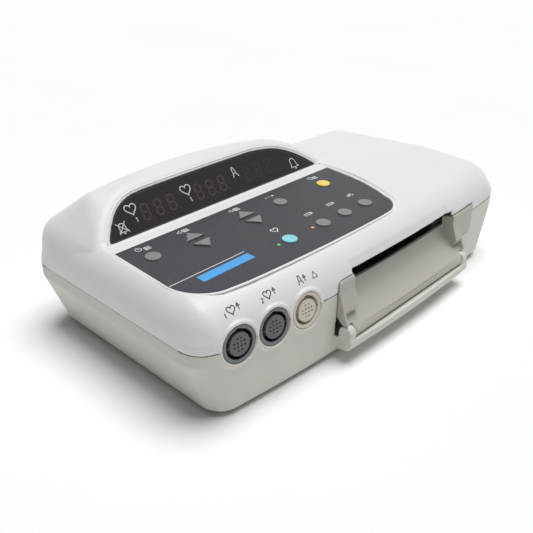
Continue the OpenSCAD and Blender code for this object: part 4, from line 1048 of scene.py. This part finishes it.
strip = [([(-3.4, -1.7), (3, -1.7), (3.6, 1.6), (-2.8, 1.6), (-3.4, -1.7)], 0.6),
         ([(-2, 0), (0, 0.9), (1, -0.8), (2.4, 0.4)], 0.5), ([(4.6, -1.6), (4.6, 1.4)], 1.5)]
bed = [([(-4.2, -1.4), (-1, -1.4), (0.4, 1.8), (2.2, -1), (4.4, -1)], 0.8), ([(-3.4, 0.6), (-0.8, 0.9)], 0.9),
       ([(1.6, 1.4), (2.6, 2.2), (3.6, 1.4)], 0.7)]

windowMarks = []
for mark, x, y, size in ((crossedBell, -187.5, 10, 1.05), (heart, -170.3, 23.6, 1.3),
                         (one, -169.5, 12.6, 0.6), (heart, -104.3, 22.9, 1.3), (one, -104, 12.4, 0.6),
                         (peak, -39, 23.2, 1.1), (bell, 42.5, 9.8, 1.25)):
    windowMarks += moved(mark, x, y, size)
printed("window_marks", windowMarks, onWindow, inkPale)

sheetMarks = [([(-215, 66.9), (-131, 66.9)], 0.8)]
for x, y, mark in ((-194.8, 134.5, clock), (-187, 131.5, lines), (-147.3, 134.6, horn),
                   (-140.6, 134.4, lines), (-82, 134.6, horn), (-75.2, 134.4, lines), (-31.6, 132, dashes),
                   (35.5, 134.5, clock), (41, 133, lines), (-34.2, 77.5, strip), (-1.2, 77.5, strip),
                   (31, 77, bed)):
    sheetMarks += moved(mark, x, y, 1.15)
sheetMarks += moved([(heartLine, 0.9)], -81.5, 76.3, 0.85)
printed("sheet_marks", sheetMarks, onPanel, inkWhite)
printed("sheet_bar", [([(-190, 53), (-131, 53), (-131, 63), (-190, 63)], 0)], onPanel, inkBlue)

heartAndArrow = moved(heart, 0, 0, 0.85) + moved(arrowUp, 7.4, 1, 0.8)
frontMarks = [(-193.5, 30, moved(one, -7, -2.6, 0.55) + heartAndArrow),
              (-156, 29, moved(two, -7, -2.6, 0.55) + heartAndArrow),
              (-117.5, 28.5, moved(peak, -2, 0, 0.8) + moved(arrowUp, 3.6, 0, 0.8)), (-102.5, 27, triangle)]
for i, (x, h, mark) in enumerate(frontMarks):
    printed("socket_mark_%d" % i, mark, onFront(x, 7, h, 42), inkBlack, on=outer)
print("marks printed")

# The other pieces

bare = (
    (zincSteel, "rear_panel socket_nuts recorder_frame frame_screws case_screws"),
    (groundSteel, "door_hinge_pins roller_shaft"),
    (brushedAluminium, "head_heat_sink"),
    (sinteredBronze, "roller_bushes"),
    (turnedBrass, "motor_pinion earth_post"),
    (mouldedNylon, "roller_gear board_spacers"),
    (groundRubber, "door_catches drive_roller rubber_feet"),
    (solderMask, "display_board keypad_board input_board main_board power_board"),
    (digitHousing, "digit_module_left digit_module_middle digit_module_right"),
    (blackNylon, "key_switches mains_inlet fuse_drawer switch_housing data_sockets"),
    (rockerNylon, "power_rocker"),
    (lampGreen, "led_green"),
    (lampAmber, "led_amber"),
    (socketGrey, "socket_insert_left socket_insert_middle"),
    (socketCream, "socket_insert_right"),
    (enamelledSteel, "recorder_motor"),
    (varnishedCore, "transformer"),
    (glazedCeramic, "print_head"),
    (pressedPaper, "speaker"))
# mm of rounding on the edges that a view can show
softened = {
    "door_catches": 0.5, "mains_inlet": 0.4, "fuse_drawer": 0.4, "switch_housing": 0.4, "power_rocker": 0.4,
    "rubber_feet": 0.4, "rear_panel": 0.3, "data_sockets": 0.3, "recorder_frame": 0.25, "earth_post": 0.2,
    "head_heat_sink": 0.2, "print_head": 0.2, "socket_insert_left": 0.15, "socket_insert_middle": 0.15,
    "socket_insert_right": 0.15}
for material, nodes in bare:
    for node in nodes.split():
        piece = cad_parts[node]
        piece.data.materials.clear()
        piece.data.materials.append(material)
        if node in softened:
            edge = piece.modifiers.new("edge", "BEVEL")
            edge.width = softened[node] / 1000
            edge.segments = 2
            edge.limit_method = "ANGLE"
            edge.angle_limit = math.radians(40)
            edge.use_clamp_overlap = True
print("pieces dressed:", sum(len(nodes.split()) for material, nodes in bare))

# Floor, light and camera

# pale seamless paper, with the faintest unevenness
floorMaterial, floorTree, floorShader, floorWhere = startMaterial("paleFloor")
cloud = addNode(floorTree, "TexNoise", {"Scale": 3.0}, {"Vector": floorWhere})
pale = addNode(floorTree, "Mix", {"data_type": "RGBA", 6: linear("#fbfbfb"), 7: linear("#ffffff")},
               {0: cloud.outputs[0]})
floorTree.links.new(pale.outputs[2], floorShader.inputs["Base Color"])
floorShader.inputs["Roughness"].default_value = 0.9
floorShader.inputs["Specular IOR Level"].default_value = 0.1
floor = newPiece("floor", [(-30, -30, 0), (30, -30, 0), (30, 30, 0), (-30, 30, 0)], [[0, 1, 2, 3]])
floor.data.materials.append(floorMaterial)

# the room is white to the eye and in gloss, and lights the object only softly
world = bpy.data.worlds.new("studio")
bpy.context.scene.world = world
world.use_nodes = True
room = world.node_tree
room.nodes.clear()
rays = addNode(room, "LightPath").outputs
seen = addNode(room, "Math", {"operation": "MAXIMUM"},
               {0: rays["Is Camera Ray"], 1: rays["Is Glossy Ray"]})
seen = addNode(room, "Math", {"operation": "MAXIMUM"},
               {0: seen.outputs[0], 1: rays["Is Transmission Ray"]})
level = addNode(room, "MapRange", {"To Min": 0.1, "To Max": 1.0}, {"Value": seen.outputs[0]})
sky = addNode(room, "Background", {"Color": (1, 1, 1, 1)}, {"Strength": level.outputs[0]})
addNode(room, "OutputWorld", links={"Surface": sky.outputs[0]})

sun = bpy.data.lights.new("softSun", "SUN")
sun.energy = 2.85
sun.angle = math.radians(42)
sunLamp = bpy.data.objects.new("softSun", sun)
sunLamp.rotation_euler = (math.radians(3), math.radians(10), 0)
bpy.context.collection.objects.link(sunLamp)

camera = bpy.data.cameras.new("camera")
camera.lens = 47.73
camera.sensor_width = 36
eye = bpy.data.objects.new("camera", camera)
eye.location = (-0.512, -0.450, 0.400)
eye.rotation_euler = (math.radians(60.95), 0, math.radians(-46.08))
bpy.context.collection.objects.link(eye)
bpy.context.scene.camera = eye
bpy.context.scene.view_settings.view_transform = "Standard"
